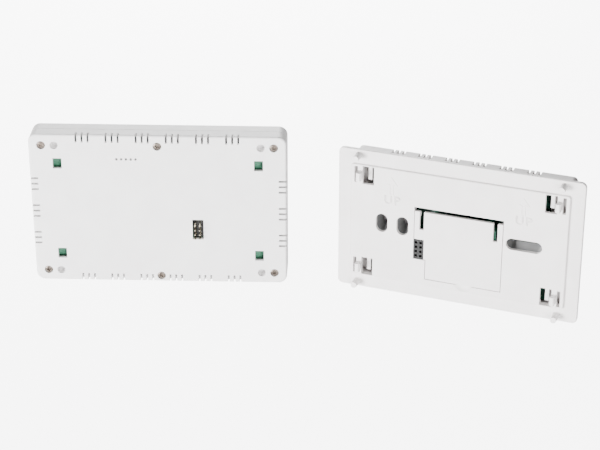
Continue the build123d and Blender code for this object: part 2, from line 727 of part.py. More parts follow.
with BuildPart() as fuse:
    with BuildSketch(Plane.YZ.offset(FUSE_AT[0] - FUSE_LONG / 2)):
        with Locations((-(BOARD_TOP + FUSE_R), FUSE_AT[1])):
            Circle(FUSE_R)
    extrude(amount=FUSE_LONG)
    fillet(fuse.edges(), SMALL_ROUND)
save(fuse, "fuse")

with BuildPart() as varistor:
    with BuildSketch(base_at(BOARD_TOP)):
        with Locations(VARISTOR_AT):
            Circle(VARISTOR_R)
    extrude(amount=VARISTOR_T)
    fillet(varistor.faces().sort_by(Axis.Y)[0].edges(), SMALL_ROUND)
save(varistor, "varistor")

# ---------------------------------------------------------------- head: rear cover
CASE_SCREW_IN_X = 6.7
CASE_SCREW_IN_Z = 6.1
MIDDLE_SCREW_TOP = 6.0
MIDDLE_SCREW_FOOT = 3.5
CASE_SCREW_PLACES = [
    (x * (HEAD_W / 2 - CASE_SCREW_IN_X), z * (HEAD_H / 2 - CASE_SCREW_IN_Z)) for x, z in CORNERS
] + [
    (0, HEAD_H / 2 - MIDDLE_SCREW_TOP),
    (0, -(HEAD_H / 2 - MIDDLE_SCREW_FOOT)),
]
BOSS_RISE = 5.2
BOSS_MEET = HEAD_BACK + BOSS_RISE
SOUND_PLACES = [(SOUND_X + hole * SOUND_HOLE_PITCH, SOUND_Z) for hole in range(-2, 3)]
HEAD_VENT_X = vent_places(VENT_GROUPS, HEAD_VENT_GROUP_PITCH, HEAD_VENT_PITCH)
HEAD_VENT_Z = vent_places(HEAD_SIDE_GROUPS, HEAD_VENT_GROUP_PITCH, HEAD_VENT_PITCH)

with BuildPart() as rear_cover:
    with BuildSketch(head_at(HEAD_BACK)):
        RectangleRounded(HEAD_W, HEAD_H, HEAD_R)
    extrude(amount=REAR_DEEP)
    fillet(rear_cover.faces().sort_by(HEAD_AXIS)[0].edges(), REAR_ROUND)
    with BuildSketch(head_at(REAR_INSIDE)):
        RectangleRounded(HEAD_W - 2 * HEAD_WALL, HEAD_H - 2 * HEAD_WALL, HEAD_R - HEAD_WALL)
    extrude(amount=REAR_DEEP, mode=Mode.SUBTRACT)
    # bosses for the case screws and cups for the base's pegs
    with BuildSketch(head_at(REAR_INSIDE)):
        with Locations(*CASE_SCREW_PLACES):
            Circle(CASE_BOSS_R)
        Rectangle(HEAD_W - HEAD_WALL, HEAD_H - HEAD_WALL, mode=Mode.INTERSECT)
    extrude(amount=BOSS_MEET - REAR_INSIDE)
    with BuildSketch(head_at(REAR_INSIDE)):
        with Locations(*PEG_PLACES):
            Circle(PEG_HOLE_R + CUP_WALL)
    extrude(amount=PEG_HOLE_DEEP + CUP_WALL - REAR_T)
    with BuildSketch(head_at(HEAD_BACK)):
        with Locations(*PEG_PLACES):
            Circle(PEG_HOLE_R)
    extrude(amount=PEG_HOLE_DEEP, mode=Mode.SUBTRACT)
    with BuildSketch(head_at(HEAD_BACK)):
        with Locations(*CASE_SCREW_PLACES):
            Circle(CASE_HEAD_R + SCREW_CLEAR)
    extrude(amount=CASE_HEAD_SINK, mode=Mode.SUBTRACT)
    with BuildSketch(head_at(HEAD_BACK)):
        with Locations(*CASE_SCREW_PLACES):
            Circle(CASE_SHANK_R + SCREW_CLEAR)
        # windows for the hooks and the pin header, and the row of small sound holes
        with Locations(*HOOK_PLACES):
            Rectangle(HEAD_WINDOW_W, HEAD_WINDOW_H)
        with Locations((LINK_X, LINK_Z)):
            Rectangle(LINK_WINDOW_W, LINK_WINDOW_H)
        with Locations(*SOUND_PLACES):
            Circle(SOUND_HOLE_R)
    extrude(amount=BOSS_MEET - HEAD_BACK, mode=Mode.SUBTRACT)
    # vents that run over the rear edge on all four sides
    with BuildSketch(head_at(HEAD_BACK)):
        for side in (-1, 1):
            for x in HEAD_VENT_X:
                with Locations((x, side * (HEAD_H - HEAD_VENT_IN) / 2)):
                    Rectangle(HEAD_VENT_W, HEAD_VENT_IN)
            for z in HEAD_VENT_Z:
                with Locations((side * (HEAD_W - HEAD_VENT_IN) / 2, z + HEAD_SIDE_Z)):
                    Rectangle(HEAD_VENT_IN, HEAD_VENT_W)
    extrude(amount=HEAD_VENT_DEEP, mode=Mode.SUBTRACT)
save(rear_cover, "rear_cover")

# ---------------------------------------------------------------- head: front cover
BUTTON_PLACES = [
    ((place - (len(BUTTON_NAMES) - 1) / 2) * BUTTON_PITCH, BUTTON_Z)
    for place in range(len(BUTTON_NAMES))
]
BOARD_W_MAIN = HEAD_W - 2 * MAIN_BOARD_SIDE
MAIN_TOP_Z = HEAD_H / 2 - MAIN_BOARD_TOP
MAIN_FOOT_Z = -(HEAD_H / 2 - MAIN_BOARD_FOOT)
MAIN_POST_R = 2.0
MAIN_POST_IN = 3.4
MAIN_POST_Z = 13.0
MAIN_POST_PLACES = [(x * (BOARD_W_MAIN / 2 - MAIN_POST_IN), z * MAIN_POST_Z) for x, z in CORNERS]

with BuildPart() as front_cover:
    with BuildSketch(head_at(PART_LINE)):
        RectangleRounded(HEAD_W, HEAD_H, HEAD_R)
    extrude(amount=HEAD_FRONT - PART_LINE)
    fillet(front_cover.faces().sort_by(HEAD_AXIS)[-1].edges(), FRONT_ROUND)
    with BuildSketch(head_at(PART_LINE)):
        RectangleRounded(HEAD_W - 2 * HEAD_WALL, HEAD_H - 2 * HEAD_WALL, HEAD_R - HEAD_WALL)
    extrude(amount=FRONT_INSIDE - PART_LINE, mode=Mode.SUBTRACT)
    # fine groove round the outside, where the two covers meet
    with BuildSketch(head_at(PART_LINE)):
        RectangleRounded(HEAD_W, HEAD_H, HEAD_R)
        RectangleRounded(HEAD_W - 2 * SEAM, HEAD_H - 2 * SEAM, HEAD_R - SEAM, mode=Mode.SUBTRACT)
    extrude(amount=SEAM, mode=Mode.SUBTRACT)
    # lip that drops inside the rear cover: full width above the joint, a fit gap below it
    for gap, start, length in (
        (0, PART_LINE, HEAD_LIP_DEEP),
        (FIT_GAP, PART_LINE - HEAD_LIP_DEEP, HEAD_LIP_DEEP),
    ):
        with BuildSketch(head_at(start)):
            RectangleRounded(
                HEAD_W - 2 * (HEAD_WALL + gap), HEAD_H - 2 * (HEAD_WALL + gap), HEAD_R - HEAD_WALL - gap
            )
            RectangleRounded(
                HEAD_W - 2 * (HEAD_WALL + HEAD_LIP_T),
                HEAD_H - 2 * (HEAD_WALL + HEAD_LIP_T),
                HEAD_R - HEAD_WALL - HEAD_LIP_T,
                mode=Mode.SUBTRACT,
            )
        extrude(amount=length)
    # bosses for the case screws and posts for the main board
    with BuildSketch(head_at(FRONT_INSIDE)):
        with Locations(*CASE_SCREW_PLACES):
            Circle(CASE_BOSS_R)
        Rectangle(HEAD_W - 2 * HEAD_WALL - 2 * FIT_GAP, HEAD_H - 2 * HEAD_WALL - 2 * FIT_GAP,
                  mode=Mode.INTERSECT)
    extrude(amount=-(FRONT_INSIDE - BOSS_MEET - FIT_GAP))
    with BuildSketch(head_at(FRONT_INSIDE)):
        with Locations(*MAIN_POST_PLACES):
            Circle(MAIN_POST_R)
    extrude(amount=-(FRONT_INSIDE - MAIN_FRONT))
    with BuildSketch(head_at(BOSS_MEET)):
        with Locations(*CASE_SCREW_PLACES):
            Circle(CASE_SHANK_R)
    extrude(amount=CASE_PILOT_DEEP, mode=Mode.SUBTRACT)
    with BuildSketch(head_at(MAIN_FRONT)):
        with Locations(*MAIN_POST_PLACES):
            Circle(SMALL_SHANK_R)
    extrude(amount=SMALL_SHANK, mode=Mode.SUBTRACT)
    # recess for the lens, window behind it, and one opening per button
    with BuildSketch(head_at(HEAD_FRONT)):
        with Locations((0, LENS_Z)):
            RectangleRounded(LENS_W + 2 * LENS_GAP, LENS_H + 2 * LENS_GAP, LENS_R)
    extrude(amount=-LENS_T, mode=Mode.SUBTRACT)
    with BuildSketch(head_at(HEAD_FRONT)):
        with Locations((0, LENS_Z)):
            Rectangle(LENS_W - 2 * LENS_LEDGE, LENS_H - 2 * LENS_LEDGE)
        with Locations(*BUTTON_PLACES):
            RectangleRounded(BUTTON_W + 2 * BUTTON_GAP, BUTTON_H + 2 * BUTTON_GAP, BUTTON_R)
    extrude(amount=-FRONT_T, mode=Mode.SUBTRACT)
save(front_cover, "front_cover")

case_screws = screw_group(
    head_at, CASE_SCREW_PLACES, HEAD_BACK + CASE_HEAD_SINK, 1,
    CASE_HEAD_R, CASE_HEAD_T, CASE_SHANK_R, CASE_SHANK,
)
save(case_screws, "case_screws")

with BuildPart() as display_lens:
    with BuildSketch(head_at(HEAD_FRONT - LENS_T)):
        with Locations((0, LENS_Z)):
            RectangleRounded(LENS_W, LENS_H, LENS_R)
    extrude(amount=LENS_T)
save(display_lens, "display_lens")

# ---------------------------------------------------------------- head: main board
with BuildPart() as main_board:
    with BuildSketch(head_at(MAIN_BACK)):
        Rectangle(BOARD_W_MAIN, 2 * MAIN_TOP_Z)
        with Locations((0, MAIN_FOOT_Z / 2)):
            Rectangle(2 * (PEG_X - PEG_HOLE_R - CUP_WALL - BOARD_CLEAR), -MAIN_FOOT_Z)
        with Locations(*MAIN_POST_PLACES):
            Circle(SMALL_SHANK_R, mode=Mode.SUBTRACT)
    extrude(amount=BOARD_T)
save(main_board, "main_board")

main_board_screws = screw_group(
    head_at, MAIN_POST_PLACES, MAIN_BACK, 1,
    SMALL_HEAD_R, SMALL_HEAD_T, SMALL_SHANK_R, SMALL_SHANK,
)
save(main_board_screws, "main_board_screws")

# ---------------------------------------------------------------- head: display stack
FRAME_WALL = 2.4
FRAME_GAP = 0.2
FRAME_TOP = FRONT_INSIDE - FRAME_GAP
LCD_W = 96.0
LCD_H = 50.0
LCD_T = 2.7
LCD_GAP = 0.2
LEDGE = 2.0
BACKLIGHT_T = 2.2
STRIP_T = 1.8
STRIP_LONG = 84.0
LCD_BACK = FRAME_TOP - LCD_T
WELL_W = LCD_W - 2 * LEDGE
WELL_H = LCD_H - 2 * LEDGE
STRIP_Z = LENS_Z + WELL_H / 2 - STRIP_T / 2 - LCD_GAP
BACKLIGHT_H = WELL_H - 2 * STRIP_T - 4 * LCD_GAP

with BuildPart() as display_frame:
    with BuildSketch(head_at(MAIN_FRONT)):
        with Locations((0, LENS_Z)):
            RectangleRounded(LCD_W + 2 * FRAME_WALL, LCD_H + 2 * FRAME_WALL, SMALL_ROUND)
            Rectangle(WELL_W, WELL_H, mode=Mode.SUBTRACT)
    extrude(amount=FRAME_TOP - MAIN_FRONT)
    with BuildSketch(head_at(LCD_BACK)):
        with Locations((0, LENS_Z)):
            Rectangle(LCD_W + 2 * LCD_GAP, LCD_H + 2 * LCD_GAP)
    extrude(amount=LCD_T, mode=Mode.SUBTRACT)
save(display_frame, "display_frame")

with BuildPart() as lcd_panel:
    with BuildSketch(head_at(LCD_BACK)):
        with Locations((0, LENS_Z)):
            Rectangle(LCD_W, LCD_H)
    extrude(amount=LCD_T)
save(lcd_panel, "lcd_panel")

with BuildPart() as backlight:
    with BuildSketch(head_at(LCD_BACK - LCD_GAP - BACKLIGHT_T)):
        with Locations((0, LENS_Z)):
            Rectangle(WELL_W - 2 * LCD_GAP, BACKLIGHT_H)
    extrude(amount=BACKLIGHT_T)
save(backlight, "backlight")

with BuildPart() as contact_strips:
    with BuildSketch(head_at(MAIN_FRONT)):
        with Locations((0, STRIP_Z), (0, 2 * LENS_Z - STRIP_Z)):
            Rectangle(STRIP_LONG, STRIP_T)
    extrude(amount=LCD_BACK - MAIN_FRONT)
save(contact_strips, "contact_strips")

# ---------------------------------------------------------------- head: pin header
HEADER_T = 2.5
HEADER_GAP = 0.15
PIN_TIP = HEAD_BACK - LINK_ENGAGED

with BuildPart() as header_housing:
    with BuildSketch(head_at(MAIN_BACK - HEADER_T)):
        with Locations((LINK_X, LINK_Z)):
            Rectangle(LINK_WINDOW_W - 2 * HEADER_GAP, LINK_WINDOW_H - 2 * HEADER_GAP)
        with Locations(*LINK_PLACES):
            Rectangle(LINK_PIN, LINK_PIN, mode=Mode.SUBTRACT)
    extrude(amount=HEADER_T)
save(header_housing, "header_housing")

with BuildPart() as header_pins:
    with BuildSketch(head_at(PIN_TIP)):
        with Locations(*LINK_PLACES):
            Rectangle(LINK_PIN, LINK_PIN)
    extrude(amount=MAIN_BACK - PIN_TIP)
    chamfer(header_pins.faces().group_by(HEAD_AXIS)[0].edges(), LINK_PIN / 4)
save(header_pins, "header_pins")

# ---------------------------------------------------------------- head: buttons and switches
SWITCH_SIDE = 6.0
SWITCH_T = 3.5
SWITCH_WELL_R = 1.75
STEM_R = 1.55
STEM_IN = 0.9
STEM_FOOT = 0.3
SWITCH_WELL_DEEP = STEM_IN + BUTTON_TRAVEL + STEM_FOOT
SWITCH_TOP = MAIN_FRONT + SWITCH_T
BUTTON_REST = 0.05
FLANGE_TOP = FRONT_INSIDE - BUTTON_REST
ICON_SIZE = 1.5
ICON_DEEP = 0.2
CAP_ROUND = 0.5

with BuildPart() as tact_switches:
    with BuildSketch(head_at(MAIN_FRONT)):
        with Locations(*BUTTON_PLACES):
            Rectangle(SWITCH_SIDE, SWITCH_SIDE)
    extrude(amount=SWITCH_T)
    with BuildSketch(head_at(SWITCH_TOP)):
        with Locations(*BUTTON_PLACES):
            Circle(SWITCH_WELL_R)
    extrude(amount=-SWITCH_WELL_DEEP, mode=Mode.SUBTRACT)
save(tact_switches, "tact_switches")


def icon(name, at):
    """The plain sunk sign on a button cap."""
    with Locations(at):
        if name == "power":
            Circle(ICON_SIZE)
            Circle(ICON_SIZE - 2 * ICON_DEEP, mode=Mode.SUBTRACT)
        elif name == "menu":
            with GridLocations(0, ICON_SIZE, 1, 3):
                Rectangle(2 * ICON_SIZE, 2 * ICON_DEEP)
        elif name == "confirm":
            Circle(ICON_SIZE / 2)
        else:
            RegularPolygon(ICON_SIZE, 3, rotation=90 if name == "up" else -90)


for name, place in zip(BUTTON_NAMES, BUTTON_PLACES):
    with BuildPart() as button:
        with BuildSketch(head_at(FLANGE_TOP)):
            with Locations(place):
                RectangleRounded(BUTTON_W, BUTTON_H, BUTTON_R)
        extrude(amount=HEAD_FRONT + BUTTON_PROUD - FLANGE_TOP)
        fillet(button.faces().sort_by(HEAD_AXIS)[-1].edges(), CAP_ROUND)
        with BuildSketch(head_at(FLANGE_TOP)):
            with Locations(place):
                RectangleRounded(
                    BUTTON_W + 2 * BUTTON_FLANGE, BUTTON_H + 2 * BUTTON_FLANGE, BUTTON_R
                )
        extrude(amount=-BUTTON_FLANGE_T)
        with BuildSketch(head_at(FLANGE_TOP - BUTTON_FLANGE_T)):
            with Locations(place):
                Circle(STEM_R)
        extrude(amount=-(FLANGE_TOP - BUTTON_FLANGE_T - SWITCH_TOP + STEM_IN))
        with BuildSketch(head_at(HEAD_FRONT + BUTTON_PROUD)):
            icon(name, place)
        extrude(amount=-ICON_DEEP, mode=Mode.SUBTRACT)
    save(button, f"button_{name}")

# ---------------------------------------------------------------- head: parts on the main board
CONTROLLER = 10.0
CONTROLLER_T = 1.4
CONTROLLER_AT = (14.0, 2.0)
SOUNDER_R = 4.5
SOUNDER_T = 3.2
SOUNDER_HOLE_R = 1.0
CLOCK_CELL_R = 6.25
CLOCK_CELL_T = 2.5
CLOCK_CELL_AT = (-36.0, 10.0)
CRYSTAL = (7.0, 2.4, 1.6)
CRYSTAL_AT = (14.0, 12.0)
SENSOR_R = 1.3
SENSOR_LONG = 3.4
SENSOR_DROP = 2.2
SENSOR_AT = (-20.0, MAIN_FOOT_Z + SENSOR_DROP)

with BuildPart() as microcontroller:
    with BuildSketch(head_at(MAIN_BACK)):
        with Locations(CONTROLLER_AT):
            Rectangle(CONTROLLER, CONTROLLER)
    extrude(amount=-CONTROLLER_T)
    chamfer(microcontroller.faces().sort_by(HEAD_AXIS)[0].edges(), ICON_DEEP)
save(microcontroller, "microcontroller")

with BuildPart() as sounder:
    with BuildSketch(head_at(MAIN_BACK)):
        with Locations((SOUND_X, SOUND_Z - SOUNDER_R / 2)):
            Circle(SOUNDER_R)
    extrude(amount=-SOUNDER_T)
    with BuildSketch(head_at(MAIN_BACK - SOUNDER_T)):
        with Locations((SOUND_X, SOUND_Z - SOUNDER_R / 2)):
            Circle(SOUNDER_HOLE_R)
    extrude(amount=SOUNDER_T / 2, mode=Mode.SUBTRACT)
save(sounder, "sounder")

with BuildPart() as clock_cell:
    with BuildSketch(head_at(MAIN_BACK)):
        with Locations(CLOCK_CELL_AT):
            Circle(CLOCK_CELL_R)
    extrude(amount=-CLOCK_CELL_T)
    fillet(clock_cell.faces().sort_by(HEAD_AXIS)[0].edges(), 2 * ICON_DEEP)
save(clock_cell, "clock_cell")

with BuildPart() as crystal:
    with BuildSketch(head_at(MAIN_BACK)):
        with Locations(CRYSTAL_AT):
            RectangleRounded(CRYSTAL[0], CRYSTAL[1], CRYSTAL[1] / 2 - ICON_DEEP)
    extrude(amount=-CRYSTAL[2])
save(crystal, "crystal")

with BuildPart() as temperature_sensor:
    with BuildSketch(head_at(MAIN_BACK)):
        with Locations(SENSOR_AT):
            SlotOverall(SENSOR_LONG, 2 * SENSOR_R)
    extrude(amount=-SENSOR_R)
save(temperature_sensor, "temperature_sensor")
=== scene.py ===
"""Wall thermostat in two halves: finishes, fine detail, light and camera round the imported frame."""

import json
import logging
import math
from collections.abc import Callable, Iterator, Sequence
from contextlib import contextmanager
from dataclasses import dataclass, field
from enum import Enum
from typing import Any

import bmesh
import bpy
from mathutils import Matrix, Vector


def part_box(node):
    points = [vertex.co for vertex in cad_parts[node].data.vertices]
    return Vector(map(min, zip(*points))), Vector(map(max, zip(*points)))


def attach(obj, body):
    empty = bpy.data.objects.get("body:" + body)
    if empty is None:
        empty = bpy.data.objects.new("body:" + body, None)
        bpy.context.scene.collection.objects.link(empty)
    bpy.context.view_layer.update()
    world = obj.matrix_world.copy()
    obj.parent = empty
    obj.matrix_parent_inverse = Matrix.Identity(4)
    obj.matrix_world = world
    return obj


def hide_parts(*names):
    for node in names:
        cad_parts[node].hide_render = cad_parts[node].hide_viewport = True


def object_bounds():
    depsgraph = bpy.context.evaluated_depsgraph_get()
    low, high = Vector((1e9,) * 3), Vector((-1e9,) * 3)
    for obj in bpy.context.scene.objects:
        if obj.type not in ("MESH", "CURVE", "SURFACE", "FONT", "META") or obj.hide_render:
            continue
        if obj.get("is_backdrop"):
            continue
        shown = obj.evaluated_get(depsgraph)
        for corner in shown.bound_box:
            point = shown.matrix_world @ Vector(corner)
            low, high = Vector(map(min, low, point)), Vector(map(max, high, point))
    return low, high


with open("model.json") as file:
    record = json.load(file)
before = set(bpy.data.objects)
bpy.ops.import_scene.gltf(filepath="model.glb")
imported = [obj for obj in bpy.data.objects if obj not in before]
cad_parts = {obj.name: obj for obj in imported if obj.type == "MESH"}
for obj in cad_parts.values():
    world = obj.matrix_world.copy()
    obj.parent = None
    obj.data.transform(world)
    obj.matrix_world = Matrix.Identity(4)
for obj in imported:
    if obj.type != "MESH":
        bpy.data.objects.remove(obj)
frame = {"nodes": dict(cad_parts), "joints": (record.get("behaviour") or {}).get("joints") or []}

LOG = logging.getLogger("thermostat")
MM = 0.001
# Two corners closer than this are one place, in metres.
SAME_PLACE = 1e-6
# A face looks along an axis when this much of its normal does.
LOOKS_ALONG = 0.9
Piece = bpy.types.Object


class Part(Enum):
    """What a selection in edit mode picks."""

    FACE = "faces"
    EDGE = "edges"
    VERT = "verts"


class Icon(Enum):
    """The plain sign on a button, by the button's name."""

    RING = "power"
    BARS = "menu"
    DOWN = "down"
    UP = "up"
    DOT = "confirm"


# ------------------------------------------------------------------ working in edit mode
def clear_selection() -> None:
    """Leaves nothing selected, in object mode."""
    if bpy.context.object and bpy.context.object.mode != "OBJECT":
        bpy.ops.object.mode_set(mode="OBJECT")
    bpy.ops.object.select_all(action="DESELECT")


def added(name: str) -> Piece:
    """The object that the last operator added.

    Args:
        name: The name that it and its mesh are given.

    Returns:
        The object.
    """
    piece = bpy.context.object
    piece.name = name
    piece.data.name = name
    return piece


@contextmanager
def editing(piece: Piece) -> Iterator[None]:
    """Edit mode on one piece alone.

    Args:
        piece: The mesh object to shape.
    """
    clear_selection()
    piece.select_set(True)
    bpy.context.view_layer.objects.active = piece
    bpy.ops.object.mode_set(mode="EDIT")
    yield
    bpy.ops.object.mode_set(mode="OBJECT")


def pick(piece: Piece, part: Part, test: Callable[[Any], bool]) -> None:
    """Selects what passes a test, and nothing else, in edit mode.

    Args:
        piece: The mesh object in edit mode.
        part: Faces, edges or corners.
        test: Says whether one of them is wanted.
    """
    bpy.ops.mesh.select_mode(type=part.name)
    bpy.ops.mesh.select_all(action="DESELECT")
    mesh = bmesh.from_edit_mesh(piece.data)
    for element in getattr(mesh, part.value):
        element.select_set(test(element))
    mesh.select_flush_mode()
    bmesh.update_edit_mesh(piece.data)


def raise_by(height: float) -> None:
    """Extrudes the selected faces upwards, in metres."""
    bpy.ops.mesh.extrude_region_move(TRANSFORM_OT_translate={"value": (0, 0, height)})


def thicken(height: float) -> None:
    """Draws a flat outline up into a closed plate with its faces outwards, in edit mode.

    Args:
        height: The plate's thickness, in metres.
    """
    bpy.ops.mesh.select_all(action="SELECT")
    bpy.ops.mesh.normals_make_consistent(inside=False)
    raise_by(height)
    bpy.ops.mesh.select_all(action="SELECT")
    bpy.ops.mesh.normals_make_consistent(inside=False)


def looks_down(face: Any) -> bool:
    """Whether a face looks along -Z."""
    return face.normal.z < -LOOKS_ALONG


def rim_at(height: float) -> Callable[[Any], bool]:
    """A test for edges that lie at a height.

    Args:
        height: Metres above the bench.

    Returns:
        The test, for pick.
    """
    return lambda edge: all(abs(corner.co.z - height) < SAME_PLACE for corner in edge.verts)


def copied(piece: Piece, way: Matrix) -> Piece:
    """A copy of a piece with its own mesh, moved to its place.

    Args:
        piece: The piece that is modelled once.
        way: Where the copy goes.

    Returns:
        The copy.
    """
    twin = bpy.data.objects.new(piece.name, piece.data.copy())
    bpy.context.scene.collection.objects.link(twin)
    twin.data.transform(way)
    return twin


def joined(name: str, pieces: Sequence[Piece]) -> Piece:
    """One piece made of several.

    Args:
        name: Its name.
        pieces: The meshes to join, which are used up.

    Returns:
        The joined piece.
    """
    clear_selection()
    for piece in pieces:
        piece.select_set(True)
    bpy.context.view_layer.objects.active = pieces[0]
    if len(pieces) > 1:
        bpy.ops.object.join()
    return added(name)


def repeated(name: str, model: Piece, ways: Sequence[Matrix]) -> Piece:
    """Copies of one model at several places, joined; the model itself is used up.

    Args:
        name: The joined piece's name.
        model: The piece that is modelled once.
        ways: One matrix for each copy.

    Returns:
        The joined piece.
    """
    copies = [copied(model, way) for way in ways]
    bpy.data.objects.remove(model)
    return joined(name, copies)


def smooth(piece: Piece, angle: float = 35.0) -> Piece:
    """Shades a piece smooth across its flatter edges.

    Args:
        piece: The piece to shade.
        angle: Edges sharper than this stay sharp, in degrees.

    Returns:
        The same piece.
    """
    clear_selection()
    piece.select_set(True)
    bpy.context.view_layer.objects.active = piece
    bpy.ops.object.shade_smooth_by_angle(angle=math.radians(angle))
    return piece


def coat(piece: Piece, *finishes: "Finish") -> Piece:
    """Puts finishes on a new piece, one material for each.

    Args:
        piece: The new piece.
        finishes: The finishes, in the order of its face indices.

    Returns:
        The same piece.
    """
    piece.data.materials.clear()
    for finish in finishes:
        piece.data.materials.append(finish.made())
    return piece


# ------------------------------------------------------------------ places
def hinge_turn(name: str) -> Matrix:
    """The move that takes a docked head to its open rest.

    Args:
        name: The joint that docks the head at its upper limit.

    Returns:
        The turn about the joint's own line.
    """
    joint = next(j for j in frame["joints"] if j["name"] == name)
    point = Matrix.Translation(Vector(joint["pos_m"]))
    turn = Matrix.Rotation(-math.radians(joint["range_deg"][1]), 4, Vector(joint["axis"]))
    return point @ turn @ point.inverted()


HEAD_TURN = hinge_turn("head_swing")
# What faces up on the bench faces the room, or the wall.
TO_ROOM = Matrix(((1, 0, 0, 0), (0, 0, -1, 0), (0, 1, 0, 0), (0, 0, 0, 1)))
TO_WALL = Matrix(((-1, 0, 0, 0), (0, 0, 1, 0), (0, 1, 0, 0), (0, 0, 0, 1)))


def docked_box(node: str) -> tuple[Vector, Vector]:
    """A head node's corners while the head is docked.

    Args:
        node: A node of the head or of a button.

    Returns:
        The lowest and the highest corner, in metres.
    """
    back = HEAD_TURN.inverted()
    points = [back @ corner.co for corner in frame["nodes"][node].data.vertices]
    low = Vector(min(point[axis] for point in points) for axis in range(3))
    high = Vector(max(point[axis] for point in points) for axis in range(3))
    return low, high


def spot(x: float, z: float, y: float, facing: Matrix, turn: float = 0.0, on_head: bool = False) -> Matrix:
    """The place of something modelled on the bench.

    Args:
        x: Metres right, seen from the room.
        z: Metres up.
        y: Metres into the wall.
        facing: TO_ROOM or TO_WALL.
        turn: Degrees about the thing's own upright line.
        on_head: Whether it goes round with the open head.

    Returns:
        The matrix from bench to place.
    """
    way = Matrix.Translation((x, y, z)) @ facing @ Matrix.Rotation(math.radians(turn), 4, "Z")
    return HEAD_TURN @ way if on_head else way


# ------------------------------------------------------------------ finishes
def linear(code: str) -> tuple[float, float, float, float]:
    """Linear colour from an sRGB hex code.

    Args:
        code: Six hex digits, such as "E8E6E3".

    Returns:
        Red, green, blue and an alpha of 1.
    """
    parts = [int(code[place : place + 2], 16) / 255 for place in (0, 2, 4)]
    red, green, blue = [p / 12.92 if p <= 0.04045 else ((p + 0.055) / 1.055) ** 2.4 for p in parts]
    return red, green, blue, 1.0


def add_node(
    tree: bpy.types.NodeTree,
    kind: str,
    settings: dict[str, Any] | None = None,
    inputs: dict[Any, Any] | None = None,
) -> bpy.types.Node:
    """Adds a node with its settings, values and links.

    Args:
        tree: The material's node tree.
        kind: The node's type, without its "ShaderNode" start.
        settings: Attributes to set.
        inputs: A value or an output socket for each input, by its name or number.

    Returns:
        The node.
    """
    node = tree.nodes.new("ShaderNode" + kind)
    for name, value in (settings or {}).items():
        setattr(node, name, value)
    for name, value in (inputs or {}).items():
        if isinstance(value, bpy.types.NodeSocket):
            tree.links.new(value, node.inputs[name])
        else:
            node.inputs[name].default_value = value
    return node


@dataclass(frozen=True)
class Finish:
    """A surface with fine grain, soft mottling and uneven gloss.

    The grain is a shallow bump, the mottling moves the colour between two near shades, and both
    are sized in millimetres on the object itself.
    """

    name: str
    slot: str
    colour: str
    shade: str
    roughness: float = 0.5
    rough_swing: float = 0.06
    metallic: float = 0.0
    ior: float = 1.5
    grain_mm: float = 0.6
    grain_deep_mm: float = 0.006
    mottle_mm: float = 14.0
    # the noise values between which the mottling goes from one shade to the other
    mottle_from: float = 0.35
    mottle_to: float = 0.65
    # the gloss changes over this share of the mottling's size
    gloss_share: float = 1 / 3
    # finer layers in each noise
    mottle_detail: float = 3.0
    gloss_detail: float = 4.0
    grain_detail: float = 2.0

    def pattern(self, tree: bpy.types.NodeTree, size_mm: float, detail: float, where: Any) -> Any:
        """Noise with cells of a size in millimetres.

        Args:
            tree: The material's node tree.
            size_mm: The cells' size.
            detail: How many finer layers it has.
            where: The coordinates' socket.

        Returns:
            The noise's value socket.
        """
        node = add_node(
            tree, "TexNoise", None, {"Vector": where, "Scale": 1 / (size_mm * MM), "Detail": detail}
        )
        return node.outputs["Fac"]

    def colour_at(self, tree: bpy.types.NodeTree, where: Any) -> Any:
        """The two shades, mixed by the mottling.

        Args:
            tree: The material's node tree.
            where: The coordinates' socket.

        Returns:
            The colour's socket.
        """
        mottle = self.pattern(tree, self.mottle_mm, self.mottle_detail, where)
        spread = add_node(
            tree,
            "MapRange",
            None,
            {"Value": mottle, "From Min": self.mottle_from, "From Max": self.mottle_to},
        )
        mix = add_node(
            tree,
            "Mix",
            {"data_type": "RGBA"},
            {0: spread.outputs["Result"], 6: linear(self.colour), 7: linear(self.shade)},
        )
        return mix.outputs[2]

    def height_at(self, tree: bpy.types.NodeTree, where: Any) -> Any:
        """The socket with the bump's height, from 0 to 1."""
        return self.pattern(tree, self.grain_mm, self.grain_detail, where)

    def shader(self, tree: bpy.types.NodeTree, where: Any) -> bpy.types.Node:
        """The surface's shader, with colour, gloss and bump linked.

        Args:
            tree: The material's node tree.
            where: The coordinates' socket.

        Returns:
            The shader node.
        """
        uneven = self.pattern(tree, self.mottle_mm * self.gloss_share, self.gloss_detail, where)
        gloss = add_node(
            tree,
            "MapRange",
            None,
            {
                "Value": uneven,
                "To Min": self.roughness - self.rough_swing,
                "To Max": self.roughness + self.rough_swing,
            },
        )
        bump = add_node(
            tree,
            "Bump",
            None,
            {"Height": self.height_at(tree, where), "Distance": self.grain_deep_mm * MM},
        )
        return add_node(
            tree,
            "BsdfPrincipled",
            None,
            {
                "Base Color": self.colour_at(tree, where),
                "Roughness": gloss.outputs["Result"],
                "Normal": bump.outputs["Normal"],
                "Metallic": self.metallic,
                "IOR": self.ior,
            },
        )

    def made(self) -> bpy.types.Material:
        """The material, made the first time it is asked for.

        Returns:
            The material.
        """
        found = bpy.data.materials.get(self.name)
        if found:
            return found
        material = bpy.data.materials.new(self.name)
        material.use_nodes = True
        tree = material.node_tree
        tree.nodes.clear()
        where = add_node(tree, "TexCoord").outputs["Object"]
        shader = self.shader(tree, where)
        add_node(tree, "OutputMaterial", None, {"Surface": shader.outputs["BSDF"]})
        return material


